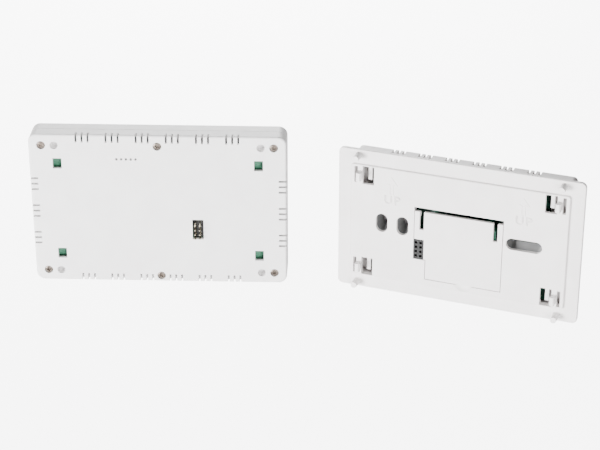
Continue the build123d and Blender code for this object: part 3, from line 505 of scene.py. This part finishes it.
@dataclass(frozen=True)
class BoardFinish(Finish):
    """Solder mask over copper: the tracks show as a lighter green under the gloss."""

    track: str = "7FB89C"
    # the spacing of the rows of tracks
    track_mm: float = 1.3
    # in row spacings: a track's width, the softness of its edges, and the cross tracks' spacing
    track_wide: float = 0.12
    track_soft: float = 0.3
    cross_spacing: float = 5.5
    # each row's cross tracks are shifted by this share, and every third row is squeezed
    stagger: float = 0.37
    squeeze: float = 0.6
    squeeze_every: int = 3
    turn: float = 0.0

    def tracks(self, tree: bpy.types.NodeTree, where: Any) -> bpy.types.Node:
        """The rows of tracks, laid in the board's own plane.

        Args:
            tree: The material's node tree.
            where: The coordinates' socket.

        Returns:
            The texture node, whose Fac is 1 on a track.
        """
        flat = add_node(
            tree,
            "Mapping",
            None,
            {"Vector": where, "Rotation": (math.radians(90), 0.0, -math.radians(self.turn))},
        )
        return add_node(
            tree,
            "TexBrick",
            {"offset": self.stagger, "squash": self.squeeze, "squash_frequency": self.squeeze_every},
            {
                "Vector": flat.outputs["Vector"],
                "Scale": 1 / (self.track_mm * MM),
                "Mortar Size": self.track_wide,
                "Mortar Smooth": self.track_soft,
                "Brick Width": self.cross_spacing,
                "Row Height": 1.0,
            },
        )

    def colour_at(self, tree: bpy.types.NodeTree, where: Any) -> Any:
        """The mask's green, lighter over the copper.

        Args:
            tree: The material's node tree.
            where: The coordinates' socket.

        Returns:
            The colour's socket.
        """
        mask = super().colour_at(tree, where)
        lines = self.tracks(tree, where)
        mix = add_node(
            tree,
            "Mix",
            {"data_type": "RGBA"},
            {0: lines.outputs["Fac"], 6: mask, 7: linear(self.track)},
        )
        return mix.outputs[2]


@dataclass(frozen=True)
class ClearFinish(Finish):
    """Clear moulded acrylic with a hard coat: see-through, with faint waviness in its gloss."""

    def shader(self, tree: bpy.types.NodeTree, where: Any) -> bpy.types.Node:
        """The clear shader.

        Args:
            tree: The material's node tree.
            where: The coordinates' socket.

        Returns:
            The shader node.
        """
        node = super().shader(tree, where)
        node.inputs["Transmission Weight"].default_value = 1.0
        return node


# Off-white ABS, injection moulded in a spark-eroded tool: matt, with a fine even grain. The real
# grain of about 0.1 mm is too fine to show, so it is drawn at 0.45 mm.
ABS_HEAD = Finish("abs_moulded_head", "white_abs", "ECEBEA", "E7E5E5", 0.52, 0.05, grain_mm=0.45)
ABS_BASE = Finish("abs_moulded_base", "white_abs", "E8E5E4", "E3DFDE", 0.5, 0.05, grain_mm=0.45)
# The sleeves that the wall screws pass through, moulded and matt: their mid-grey is painted shade, standing
# in for the shadow deep inside the wall-screw slots.
SLEEVE_PAINTED_SHADE = Finish("abs_screw_sleeves", "sleeve_grey", "6A6A6A", "656565", 0.6, 0.05, grain_mm=0.45)
# Light grey ABS caps, moulded and polished by fingers: a little glossier than the case.
ABS_GREY = Finish("abs_button_caps", "button_grey", "BEBFC1", "B6B7BA", 0.38, 0.06, grain_mm=0.5)
# Pad-printed ink in the sunk signs: dark and flat.
INK = Finish("ink_pad_printed", "black_nylon", "4A4D52", "42454A", 0.6, 0.05)
# Zinc-plated steel gone grey-brown, cold headed and tumbled: bright glints on a dull ground.
SCREW_STEEL = Finish(
    "steel_zinc_plated", "screw_steel", "8F857C", "6E645D", 0.3, 0.1, 1.0, 1.5, 0.3, 0.008, 1.6
)
# Nickel-plated steel, stamped and barrel plated: pale and bright.
NICKEL = Finish(
    "steel_nickel_plated", "plated_steel", "D9D7D0", "C6C3BB", 0.25, 0.08, 1.0, 1.5, 0.4, 0.004, 2.5
)
# Gold flash over nickel on square drawn wire: pale straw, almost silver.
GOLD = Finish("wire_gold_flashed", "gold_contact", "F1EAD6", "E2D8BE", 0.22, 0.06, 1.0, 1.5, 0.3, 0.003, 1.5)
# Black glass-filled nylon, moulded: dull, with a faint grey bloom from the glass.
NYLON = Finish("nylon_glass_filled", "black_nylon", "0A0A0B", "0F0F10", 0.64, 0.08, grain_mm=0.3)
# Glass-epoxy laminate with green solder mask: glossy, lighter where copper lies under it.
BOARD_BASE = BoardFinish(
    "laminate_power_board", "circuit_board", "173A2D", "143227", 0.3, 0.08, grain_mm=0.8, track="214B3A"
)
BOARD_HEAD = BoardFinish(
    "laminate_main_board", "circuit_board", "5C9A7C", "549174",
    0.34, 0.08, grain_mm=0.8, track="66A487", turn=-161.0
)
# Green polyamide, moulded: the usual terminal-block colour, satin.
POLYAMIDE = Finish("polyamide_terminal", "terminal_green", "24604A", "205642", 0.42, 0.06, grain_mm=0.4)
# Dark blue-grey PBT, moulded: a relay's case, satin and even.
RELAY = Finish("pbt_relay_case", "relay_case", "2E3B52", "29354A", 0.4, 0.05, grain_mm=0.4)
# Moulded black epoxy: flat and very slightly pitted.
EPOXY = Finish("epoxy_moulded", "black_epoxy", "2A2B2E", "333438", 0.55, 0.06, grain_mm=0.25)
# Yellow polypropylene film box, filled with epoxy: satin.
FILM = Finish("film_box_yellow", "film_yellow", "E2B93B", "D9AE31", 0.45, 0.05, grain_mm=0.4)
# Deep-drawn aluminium can: bright, with faint drawing marks.
CAN = Finish("aluminium_drawn", "aluminium_can", "D2D5D9", "C3C7CC", 0.28, 0.08, 1.0, 1.5, 0.5, 0.005, 4.0)
# Blue epoxy, dipped: glossy with a soft uneven skin.
DIPPED = Finish(
    "epoxy_dipped_blue", "varistor_blue", "2E5FA8", "28569C", 0.25, 0.07, grain_mm=1.6, grain_deep_mm=0.03
)
# Clear acrylic with a hard coat.
ACRYLIC = ClearFinish(
    "acrylic_hard_coated", "clear_lens", "F4F7F6", "F1F5F4", 0.05, 0.02, 0.0, 1.49, 8.0, 0.002
)
# Liquid crystal cell over a reflective film: grey-green, satin from its polariser.
LCD = Finish("lcd_polariser", "lcd_glass", "A9B5A6", "A3B0A1", 0.28, 0.05, grain_mm=0.5, grain_deep_mm=0.002)
LCD_INK = Finish("lcd_dark_segments", "lcd_glass", "23292A", "2A3031", 0.3, 0.05)
# Milky acrylic light guide, moulded: pale and smooth.
GUIDE = Finish("acrylic_milky", "light_guide", "F0F3F5", "E9EDF0", 0.3, 0.05)
# Silicone strip with carbon layers: rubbery and matt.
SILICONE = Finish("silicone_layered", "silicone_strip", "C4A0A4", "B99398", 0.7, 0.05)
# Black ink printed on the back of the lens, seen through it as a smooth dark border.
BORDER_INK = Finish("ink_lens_border", "black_nylon", "3A3D42", "34373C", 0.35, 0.04)

NODE_FINISH: dict[str, Finish] = {
    "base_rear_box": ABS_BASE,
    "base_plate": ABS_BASE,
    "terminal_cover": ABS_BASE,
    # the sleeves' mid-grey is painted shade for the inside of the wall-screw slots
    "screw_sleeves": SLEEVE_PAINTED_SHADE,
    "base_screws": SCREW_STEEL,
    "power_board": BOARD_BASE,
    "power_board_screws": NICKEL,
    "terminal_block": POLYAMIDE,
    "terminal_clamps": NICKEL,
    "terminal_screws": NICKEL,
    "socket_housing": NYLON,
    "socket_contacts": GOLD,
    "relay": RELAY,
    "supply_module": EPOXY,
    "film_capacitor": FILM,
    "bulk_capacitor": CAN,
    "fuse": EPOXY,
    "varistor": DIPPED,
    "rear_cover": ABS_HEAD,
    "front_cover": ABS_HEAD,
    "case_screws": SCREW_STEEL,
    "display_lens": ACRYLIC,
    "main_board": BOARD_HEAD,
    "main_board_screws": NICKEL,
    "display_frame": NYLON,
    "lcd_panel": LCD,
    "backlight": GUIDE,
    "contact_strips": SILICONE,
    "header_housing": NYLON,
    "header_pins": GOLD,
    "tact_switches": EPOXY,
    "button_power": ABS_GREY,
    "button_menu": ABS_GREY,
    "button_down": ABS_GREY,
    "button_up": ABS_GREY,
    "button_confirm": ABS_GREY,
    "microcontroller": EPOXY,
    "sounder": EPOXY,
    "clock_cell": NICKEL,
    "crystal": NICKEL,
    "temperature_sensor": EPOXY,
}


def dress_nodes() -> None:
    """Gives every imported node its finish."""
    for name, node in frame["nodes"].items():
        finish = NODE_FINISH[name].made()
        if not node.material_slots:
            node.data.materials.append(finish)
        for holder in node.material_slots:
            holder.material = finish


# ------------------------------------------------------------------ screws, on both halves
@dataclass
class CrossScrew:
    """A pan-head screw with a tapered cross recess, modelled on the bench with its head up."""

    head_r: float = 2.1 * MM
    head_t: float = 1.2 * MM
    dome: float = 0.55 * MM
    shank_r: float = 1.1 * MM
    root_r: float = 0.85 * MM
    shank: float = 8.0 * MM
    thread: float = 0.5 * MM
    cross_long: float = 2.9 * MM
    cross_wide: float = 0.75 * MM
    cross_deep: float = 1.0 * MM
    # the shares of the width left at the point, and at the floor of a cross arm along and across it
    point: float = 0.35
    floor_long: float = 0.55
    floor_wide: float = 0.7
    dome_steps: int = 5
    dome_shape: float = 0.55
    rim: int = 40

    def shape_head(self, screw: Piece) -> None:
        """Domes the head and draws the shank out of its underside, thread by thread.

        Args:
            screw: The plain disc of the head.
        """
        with editing(screw):
            pick(screw, Part.EDGE, rim_at(self.head_t))
            bpy.ops.mesh.bevel(
                offset=self.dome, segments=self.dome_steps, affect="EDGES", profile=self.dome_shape
            )
            pick(screw, Part.FACE, looks_down)
            bpy.ops.mesh.inset(thickness=self.head_r - self.shank_r)
            for turn in range(int(self.shank / self.thread) - 1):
                size = self.root_r / self.shank_r if turn % 2 == 0 else self.shank_r / self.root_r
                raise_by(-self.thread)
                bpy.ops.transform.resize(value=(size, size, 1.0), center_override=(0, 0, 0))
            raise_by(-self.thread)
            bpy.ops.transform.resize(value=(self.point, self.point, 1.0), center_override=(0, 0, 0))

    def cutter(self) -> Piece:
        """The cross that is cut from the head, narrower at its floor.

        Returns:
            The cutter, in the head's place.
        """
        arms = []
        for turn in (0, 90):
            bpy.ops.mesh.primitive_cube_add(size=1.0, location=(0, 0, self.head_t))
            arm = added("cross_arm")
            bpy.ops.object.transform_apply(location=True, rotation=False, scale=False)
            with editing(arm):
                bpy.ops.mesh.select_all(action="SELECT")
                bpy.ops.transform.resize(
                    value=(self.cross_long, self.cross_wide, 2 * self.cross_deep),
                    center_override=(0, 0, self.head_t),
                )
                pick(arm, Part.FACE, looks_down)
                bpy.ops.transform.resize(
                    value=(self.floor_long, self.floor_wide, 1.0), center_override=(0, 0, 0)
                )
            arm.data.transform(Matrix.Rotation(math.radians(turn), 4, "Z"))
            arms.append(arm)
        first, second = arms
        cut(first, second, "UNION")
        return first

    def build(self) -> Piece:
        """The screw.

        Returns:
            The bench model, its seat at height 0.
        """
        clear_selection()
        bpy.ops.mesh.primitive_cylinder_add(
            vertices=self.rim, radius=self.head_r, depth=self.head_t, location=(0, 0, self.head_t / 2)
        )
        screw = added("cross_screw")
        bpy.ops.object.transform_apply(location=True, rotation=False, scale=False)
        self.shape_head(screw)
        cut(screw, self.cutter(), "DIFFERENCE")
        return screw


def cut(piece: Piece, tool: Piece, way: str) -> None:
    """Joins or cuts a piece by a tool, which is used up.

    Args:
        piece: The mesh that changes.
        tool: The mesh that it is joined with or cut by.
        way: "UNION" or "DIFFERENCE".
    """
    clear_selection()
    bpy.context.view_layer.objects.active = piece
    modifier = piece.modifiers.new("cut", "BOOLEAN")
    modifier.operation = way
    modifier.solver = "EXACT"
    modifier.object = tool
    bpy.ops.object.modifier_apply(modifier=modifier.name)
    bpy.data.objects.remove(tool)


# ------------------------------------------------------------------ base
@dataclass
class RaisedWord:
    """The moulded word under each arrow: thin raised outlines."""

    word: str = "UP"
    tall: float = 6.6 * MM
    bold: float = 0.12 * MM
    line: float = 0.35 * MM
    rise: float = 0.25 * MM
    spacing: float = 1.25
    # corners of a letter that turn less than this are left out, in degrees
    flatness: float = 2.0
    places: Sequence[tuple[float, float]] = ((-35.2 * MM, 14.2 * MM), (34.6 * MM, 14.3 * MM))

    def model(self) -> Piece:
        """The word as outlines on the bench.

        Returns:
            The bench model, centred.
        """
        clear_selection()
        bpy.ops.object.text_add()
        word = added("raised_word")
        word.data.body = self.word
        word.data.size = self.tall
        word.data.offset = self.bold
        word.data.space_character = self.spacing
        word.data.align_x = "CENTER"
        word.data.align_y = "CENTER"
        bpy.ops.object.convert(target="MESH")
        word = added("raised_word")
        with editing(word):
            bpy.ops.mesh.select_all(action="SELECT")
            bpy.ops.mesh.remove_doubles(threshold=SAME_PLACE)
            bpy.ops.mesh.dissolve_limited(angle_limit=math.radians(self.flatness))
            bpy.ops.mesh.select_all(action="SELECT")
            bpy.ops.mesh.inset(thickness=self.line)
            bpy.ops.mesh.delete(type="FACE")
            thicken(self.rise)
        return word

    def build(self, face_y: float) -> Piece:
        """Both words on the plate.

        Args:
            face_y: The plate's front face.

        Returns:
            The dressed piece.
        """
        ways = [spot(x, z, face_y, TO_ROOM) for x, z in self.places]
        return coat(repeated("raised_words", self.model(), ways), ABS_BASE)


@dataclass
class ChipRow:
    """Small chip parts in a row on a board, each a ceramic body with two plated ends."""

    name: str
    # x and z in mm, and the turn in degrees
    places: Sequence[tuple[float, float, float]]
    long: float = 1.3 * MM
    wide: float = 1.2 * MM
    tall: float = 0.55 * MM
    end: float = 0.35 * MM
    end_round: float = 0.07 * MM

    def model(self) -> Piece:
        """One chip, its two ends drawn out and plated.

        Returns:
            The bench model.
        """
        body_end = self.long / 2 + SAME_PLACE
        clear_selection()
        bpy.ops.mesh.primitive_cube_add(size=1.0, location=(0, 0, 0))
        chip = added("chip")
        with editing(chip):
            bpy.ops.mesh.select_all(action="SELECT")
            bpy.ops.transform.resize(value=(self.long, self.wide, self.tall))
            bpy.ops.transform.translate(value=(0, 0, self.tall / 2))
            pick(chip, Part.FACE, lambda face: abs(face.normal.x) > LOOKS_ALONG)
            bpy.ops.mesh.extrude_region_shrink_fatten(TRANSFORM_OT_shrink_fatten={"value": self.end})
            pick(chip, Part.EDGE, lambda edge: all(abs(c.co.x) > body_end for c in edge.verts))
            bpy.ops.mesh.bevel(offset=self.end_round, segments=2, affect="EDGES")
        for face in chip.data.polygons:
            face.material_index = int(abs(face.center.x) > body_end)
        return chip

    def build(self, face_y: float, facing: Matrix, on_head: bool) -> Piece:
        """The row on its board.

        Args:
            face_y: The board's face that carries them.
            facing: TO_ROOM or TO_WALL.
            on_head: Whether the board is in the head.

        Returns:
            The dressed piece.
        """
        ways = [spot(x * MM, z * MM, face_y, facing, turn, on_head) for x, z, turn in self.places]
        return coat(repeated(self.name, self.model(), ways), EPOXY, NICKEL)


@dataclass
class BaseHalf:
    """The half that stays on the wall: its screws, raised words and chips under the cover."""

    screw_inset_x: float = 12.5 * MM
    screw_z: float = 9.0 * MM
    screw_seat: float = 1.4 * MM
    screw_turns: Sequence[float] = (12.0, 51.0, 78.0, 33.0)
    word: RaisedWord = field(default_factory=RaisedWord)
    chips: ChipRow = field(
        default_factory=lambda: ChipRow(
            "power_board_chips",
            [
                (-8, 8.2, 0), (-4.2, 8.2, 0), (0, 9, 90), (3.4, 8.2, 0),
                (8, 9, 90), (11.8, 8.2, 0), (17, 9, 90),
            ],
        )
    )

    def screws(self) -> Piece:
        """The four screws that hold plate and rear box together.

        Returns:
            The dressed piece, in place of the plain screws.
        """
        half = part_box("base_plate")[1].x - self.screw_inset_x
        corners = [(sx * half, sz * self.screw_z) for sx in (-1, 1) for sz in (-1, 1)]
        seat = -self.screw_seat
        ways = [spot(x, z, seat, TO_WALL, turn) for (x, z), turn in zip(corners, self.screw_turns)]
        piece = smooth(repeated("base_screw_set", CrossScrew().build(), ways))
        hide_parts("base_screws")
        return coat(piece, SCREW_STEEL)

    def build(self) -> list[Piece]:
        """Every new piece of the base.

        Returns:
            The pieces, riding on the base.
        """
        face_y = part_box("terminal_cover")[0].y
        board_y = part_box("power_board")[0].y
        pieces = [
            self.screws(),
            self.word.build(face_y),
            self.chips.build(board_y, TO_ROOM, False),
        ]
        for piece in pieces:
            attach(piece, "base")
        return pieces


# ------------------------------------------------------------------ head
@dataclass
class SegmentDisplay:
    """Dark seven-segment figures on the cell: room temperature, set temperature and time."""

    thick: float = 0.04 * MM
    lean: float = 0.08
    # shares of a figure's height
    figure_wide: float = 0.5
    bar_long: float = 0.46
    bar_wide: float = 0.11
    dot_r: float = 0.055
    # shares of a figure's width from one mark to the next
    figure_step: float = 1.42
    point_step: float = 0.42
    dot_rim: int = 20
    # what a line reads, then its middle and its height in mm
    figures: Sequence[tuple[str, float, float, float]] = (
        ("21.5", -9.0, 1.0, 22.0),
        ("20.0", 31.5, 12.0, 8.0),
        ("10:30", 31.0, -11.0, 7.0),
    )
    lit: dict[str, str] = field(
        default_factory=lambda: {"0": "abcdef", "1": "bc", "2": "abged", "3": "abgcd", "5": "afgcd"}
    )

    def bar(self, long: float, wide: float) -> Piece:
        """One upright segment with pointed ends.

        Args:
            long: Its length, in metres.
            wide: Its width, in metres.

        Returns:
            The bench model.
        """
        clear_selection()
        bpy.ops.mesh.primitive_circle_add(vertices=6, radius=wide / 2, fill_type="NGON")
        bar = added("segment_bar")
        with editing(bar):
            for side in (-1, 1):
                pick(bar, Part.VERT, lambda corner, side=side: corner.co.y * side > SAME_PLACE)
                bpy.ops.transform.translate(value=(0, side * (long - wide) / 2, 0))
            thicken(self.thick)
        return bar

    def dot(self, size: float) -> Piece:
        """A round dot.

        Args:
            size: Its radius, in metres.

        Returns:
            The bench model.
        """
        clear_selection()
        bpy.ops.mesh.primitive_cylinder_add(
            vertices=self.dot_rim, radius=size, depth=self.thick, location=(0, 0, self.thick / 2)
        )
        return added("segment_dot")

    def figure_places(self, text: str, x: float, tall: float) -> list[tuple[str, Matrix]]:
        """The segments and dots of one line of figures.

        Args:
            text: Digits, points and colons.
            x: The line's middle, in metres.
            tall: The figures' height, in metres.

        Returns:
            The kind of each mark, "bar" or "dot", and its place.
        """
        wide = tall * self.figure_wide
        step = {True: wide * self.figure_step, False: wide * self.point_step}
        across = sum(step[mark.isdigit()] for mark in text)
        start = x - across / 2
        marks: list[tuple[str, Matrix]] = []
        half = tall / 4
        upright = {"f": (-1, 1), "b": (1, 1), "e": (-1, -1), "c": (1, -1)}
        level = {"a": 2, "g": 0, "d": -2}
        for mark in text:
            width = step[mark.isdigit()]
            middle = start + width / 2
            if mark.isdigit():
                for name in self.lit[mark]:
                    if name in upright:
                        side, up = upright[name]
                        marks.append(("bar", Matrix.Translation((middle + side * wide / 2, up * half, 0))))
                    else:
                        turn = Matrix.Rotation(math.radians(90), 4, "Z")
                        marks.append(("bar", Matrix.Translation((middle, level[name] * half, 0)) @ turn))
            elif mark == ".":
                marks.append(("dot", Matrix.Translation((middle, -2 * half, 0))))
            else:
                marks.append(("dot", Matrix.Translation((middle, half, 0))))
                marks.append(("dot", Matrix.Translation((middle, -half, 0))))
            start += width
        return marks

    def build(self) -> Piece:
        """The figures on the cell's front.

        Returns:
            The dressed piece.
        """
        low, high = docked_box("lcd_panel")
        middle = (low + high) / 2
        slant = Matrix.Identity(4)
        slant[0][1] = self.lean
        pieces = []
        for text, x, z, tall in self.figures:
            tall *= MM
            bar = self.bar(tall * self.bar_long, tall * self.bar_wide)
            dot = self.dot(tall * self.dot_r)
            way = spot(middle.x + x * MM, middle.z + z * MM, low.y, TO_ROOM, 0.0, True) @ slant
            for kind, place in self.figure_places(text, 0.0, tall):
                pieces.append(copied(bar if kind == "bar" else dot, way @ place))
            bpy.data.objects.remove(bar)
            bpy.data.objects.remove(dot)
        return coat(joined("display_figures", pieces), LCD_INK)


@dataclass
class LensBorder:
    """The printed border on the back of the lens."""

    edge: float = 0.35 * MM
    width: float = 5.4 * MM
    corner: float = 1.8 * MM
    corner_steps: int = 6
    thick: float = 0.04 * MM
    above: float = 0.03 * MM

    def build(self) -> Piece:
        """The border, just inside the lens's back face.

        Returns:
            The dressed piece.
        """
        low, high = docked_box("display_lens")
        size = ((high.x - low.x) - 2 * self.edge, (high.z - low.z) - 2 * self.edge, 1.0)
        clear_selection()
        bpy.ops.mesh.primitive_plane_add(size=1.0)
        border = added("lens_border")
        with editing(border):
            bpy.ops.mesh.select_all(action="SELECT")
            bpy.ops.transform.resize(value=size)
            bpy.ops.mesh.bevel(offset=self.corner, segments=self.corner_steps, affect="VERTICES")
            bpy.ops.mesh.select_all(action="SELECT")
            bpy.ops.mesh.inset(thickness=self.width)
            bpy.ops.mesh.delete(type="FACE")
            thicken(self.thick)
        middle = (low + high) / 2
        border.data.transform(spot(middle.x, middle.z, high.y - self.above, TO_ROOM, 0.0, True))
        return coat(border, BORDER_INK)


@dataclass
class HeadHalf:
    """The half with the display: case screws, figures, lens border and chips on its board."""

    corner_in: tuple[float, float] = (6.7 * MM, 6.1 * MM)
    top_in: float = 6.0 * MM
    foot_in: float = 3.5 * MM
    sink: float = 1.4 * MM
    turns: Sequence[float] = (20.0, 65.0, 8.0, 40.0, 72.0, 30.0)
    figures: SegmentDisplay = field(default_factory=SegmentDisplay)
    border: LensBorder = field(default_factory=LensBorder)
    chips: ChipRow = field(
        default_factory=lambda: ChipRow(
            "main_board_chips",
            [
                (24, 5, 0), (24, 0, 90), (6, -5, 0), (14, -8, 90),
                (20, 14, 0), (-6, -12, 0), (-6, -8, 0), (-12, -4, 90),
            ],
        )
    )

    def screws(self) -> Piece:
        """The six screws that hold the case together.

        Returns:
            The dressed piece, in place of the plain screws.
        """
        high = docked_box("rear_cover")[1]
        side, end = self.corner_in
        places = [(sx * (high.x - side), sz * (high.z - end)) for sx in (-1, 1) for sz in (-1, 1)]
        places += [(0.0, high.z - self.top_in), (0.0, -(high.z - self.foot_in))]
        seat = high.y - self.sink
        ways = [spot(x, z, seat, TO_WALL, turn, True) for (x, z), turn in zip(places, self.turns)]
        piece = smooth(repeated("case_screw_set", CrossScrew().build(), ways))
        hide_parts("case_screws")
        return coat(piece, SCREW_STEEL)

    def build(self) -> list[Piece]:
        """Every new piece of the head.

        Returns:
            The pieces, riding on the head.
        """
        board_y = docked_box("main_board")[1].y
        pieces = [
            self.screws(),
            self.figures.build(),
            self.border.build(),
            self.chips.build(board_y, TO_WALL, True),
        ]
        for piece in pieces:
            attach(piece, "head")
        return pieces


@dataclass
class ButtonSign:
    """The printed sign that fills the sunk sign of one button."""

    icon: Icon
    size: float = 1.5 * MM
    sunk: float = 0.2 * MM
    fill: float = 0.12 * MM
    ring_rim: int = 40
    dot_rim: int = 32

    def flat(self) -> Piece:
        """The sign's outline.

        Returns:
            The flat bench mesh.
        """
        inner = self.size - 2 * self.sunk
        if self.icon is Icon.RING:
            bpy.ops.mesh.primitive_circle_add(vertices=self.ring_rim, radius=self.size, fill_type="NGON")
            sign = added("sign")
            with editing(sign):
                bpy.ops.mesh.select_all(action="SELECT")
                bpy.ops.mesh.inset(thickness=self.size - inner)
                bpy.ops.mesh.delete(type="FACE")
            return sign
        if self.icon is Icon.BARS:
            bars = []
            for row in (-1, 0, 1):
                bpy.ops.mesh.primitive_plane_add(size=1.0)
                bar = added("bar")
                across = Matrix.Diagonal((2 * self.size, 2 * self.sunk, 1.0, 1.0))
                bar.data.transform(Matrix.Translation((0, row * self.size, 0)) @ across)
                bars.append(bar)
            return joined("sign", bars)
        if self.icon is Icon.DOT:
            bpy.ops.mesh.primitive_circle_add(vertices=self.dot_rim, radius=self.size / 2, fill_type="NGON")
            return added("sign")
        bpy.ops.mesh.primitive_circle_add(vertices=3, radius=self.size, fill_type="NGON")
        sign = added("sign")
        if self.icon is Icon.DOWN:
            sign.data.transform(Matrix.Rotation(math.pi, 4, "Z"))
        return sign

    def build(self) -> Piece:
        """The sign in place on its button.

        Returns:
            The dressed piece, riding on the button.
        """
        node = f"button_{self.icon.value}"
        low, high = docked_box(node)
        middle = (low + high) / 2
        clear_selection()
        sign = self.flat()
        with editing(sign):
            thicken(self.fill)
        sign.data.transform(spot(middle.x, middle.z, low.y + self.sunk, TO_ROOM, 0.0, True))
        piece = coat(joined(f"sign_{self.icon.value}", [sign]), INK)
        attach(piece, node)
        return piece


# ------------------------------------------------------------------ stage
def seen_from(azimuth: float, elevation: float) -> Vector:
    """The direction towards a viewer.

    Args:
        azimuth: Degrees round from the front, towards +X.
        elevation: Degrees up.

    Returns:
        A unit vector.
    """
    a, e = math.radians(azimuth), math.radians(elevation)
    return Vector((math.sin(a) * math.cos(e), -math.cos(a) * math.cos(e), math.sin(e)))


@dataclass
class Stage:
    """Pale floor, soft light and the camera."""

    azimuth: float = 21.0
    elevation: float = 26.0
    lens: float = 110.0
    sensor: float = 36.0
    across: float = 0.312
    floor_below: float = 0.25
    floor_size: float = 14.0
    floor_colour: str = "F7F7F7"
    floor_roughness: float = 0.9
    # how bright the floor and the sky look to the camera alone, without lighting the object
    floor_glow: float = 6.0
    # the camera shows nothing nearer than this
    nearest: float = 0.01
    # azimuth, elevation, distance, side, watts
    lamps: Sequence[tuple[float, float, float, float, float]] = (
        (-24.0, 1.0, 1.7, 0.6, 94.0),
        (34.0, 6.0, 1.8, 0.6, 38.0),
        (205.0, 20.0, 1.7, 0.8, 60.0),
    )
    sky: float = 0.08

    def aim(self) -> Vector:
        """The middle of the whole object."""
        low, high = (Vector(corner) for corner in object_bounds())
        return (low + high) / 2

    def floor(self) -> Piece:
        """The floor, well under the object, which hangs as on a wall.

        Returns:
            The floor, kept out of the object.
        """
        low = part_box("rear_cover")[0].z - self.floor_below
        clear_selection()
        bpy.ops.mesh.primitive_plane_add(size=self.floor_size, location=(0, 0, low))
        floor = added("floor")
        bpy.ops.object.transform_apply(location=True, rotation=False, scale=False)
        material = bpy.data.materials.new("floor_paper")
        material.use_nodes = True
        tree = material.node_tree
        shader = tree.nodes["Principled BSDF"]
        shader.inputs["Base Color"].default_value = linear(self.floor_colour)
        shader.inputs["Roughness"].default_value = self.floor_roughness
        shader.inputs["Emission Color"].default_value = linear(self.floor_colour)
        seen = add_node(tree, "LightPath").outputs["Is Camera Ray"]
        glow = add_node(tree, "Math", {"operation": "MULTIPLY"}, {0: seen, 1: self.floor_glow})
        tree.links.new(glow.outputs["Value"], shader.inputs["Emission Strength"])
        floor.data.materials.append(material)
        floor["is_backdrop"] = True
        return floor

    def light(self) -> None:
        """Soft square lamps and an even sky."""
        aim = self.aim()
        for number, (azimuth, elevation, far, side, watts) in enumerate(self.lamps):
            lamp = bpy.data.lights.new(f"soft_lamp_{number}", "AREA")
            lamp.size = side
            lamp.energy = watts
            holder = bpy.data.objects.new(lamp.name, lamp)
            way = seen_from(azimuth, elevation)
            holder.matrix_world = (
                Matrix.Translation(aim + far * way) @ way.to_track_quat("Z", "Y").to_matrix().to_4x4()
            )
            bpy.context.scene.collection.objects.link(holder)
        world = bpy.data.worlds.new("even_sky")
        world.use_nodes = True
        tree = world.node_tree
        ground = tree.nodes["Background"]
        ground.inputs["Color"].default_value = (1.0, 1.0, 1.0, 1.0)
        seen = add_node(tree, "LightPath").outputs["Is Camera Ray"]
        glow = add_node(
            tree, "Math", {"operation": "MULTIPLY_ADD"}, {0: seen, 1: self.floor_glow, 2: self.sky}
        )
        tree.links.new(glow.outputs["Value"], ground.inputs["Strength"])
        bpy.context.scene.world = world

    def camera(self) -> None:
        """The camera, square on to neither half, looking down at both."""
        data = bpy.data.cameras.new("camera")
        data.lens = self.lens
        data.sensor_width = self.sensor
        data.clip_start = self.nearest
        holder = bpy.data.objects.new("camera", data)
        way = seen_from(self.azimuth, self.elevation)
        far = self.across * self.lens / self.sensor
        holder.matrix_world = (
            Matrix.Translation(self.aim() + far * way) @ way.to_track_quat("Z", "Y").to_matrix().to_4x4()
        )
        bpy.context.scene.collection.objects.link(holder)
        bpy.context.scene.camera = holder

    def build(self) -> None:
        """Floor, light and camera."""
        self.camera()
        self.light()
        self.floor()


def main() -> None:
    """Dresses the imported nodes, builds the new pieces in order and sets the stage."""
    logging.basicConfig(level=logging.INFO, format="%(name)s: %(message)s")
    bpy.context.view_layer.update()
    dress_nodes()
    Stage().build()
    pieces = BaseHalf().build() + HeadHalf().build() + [ButtonSign(icon).build() for icon in Icon]
    for piece in pieces:
        LOG.info("%s: %d faces", piece.name, len(piece.data.polygons))


if __name__ == "__main__":
    main()
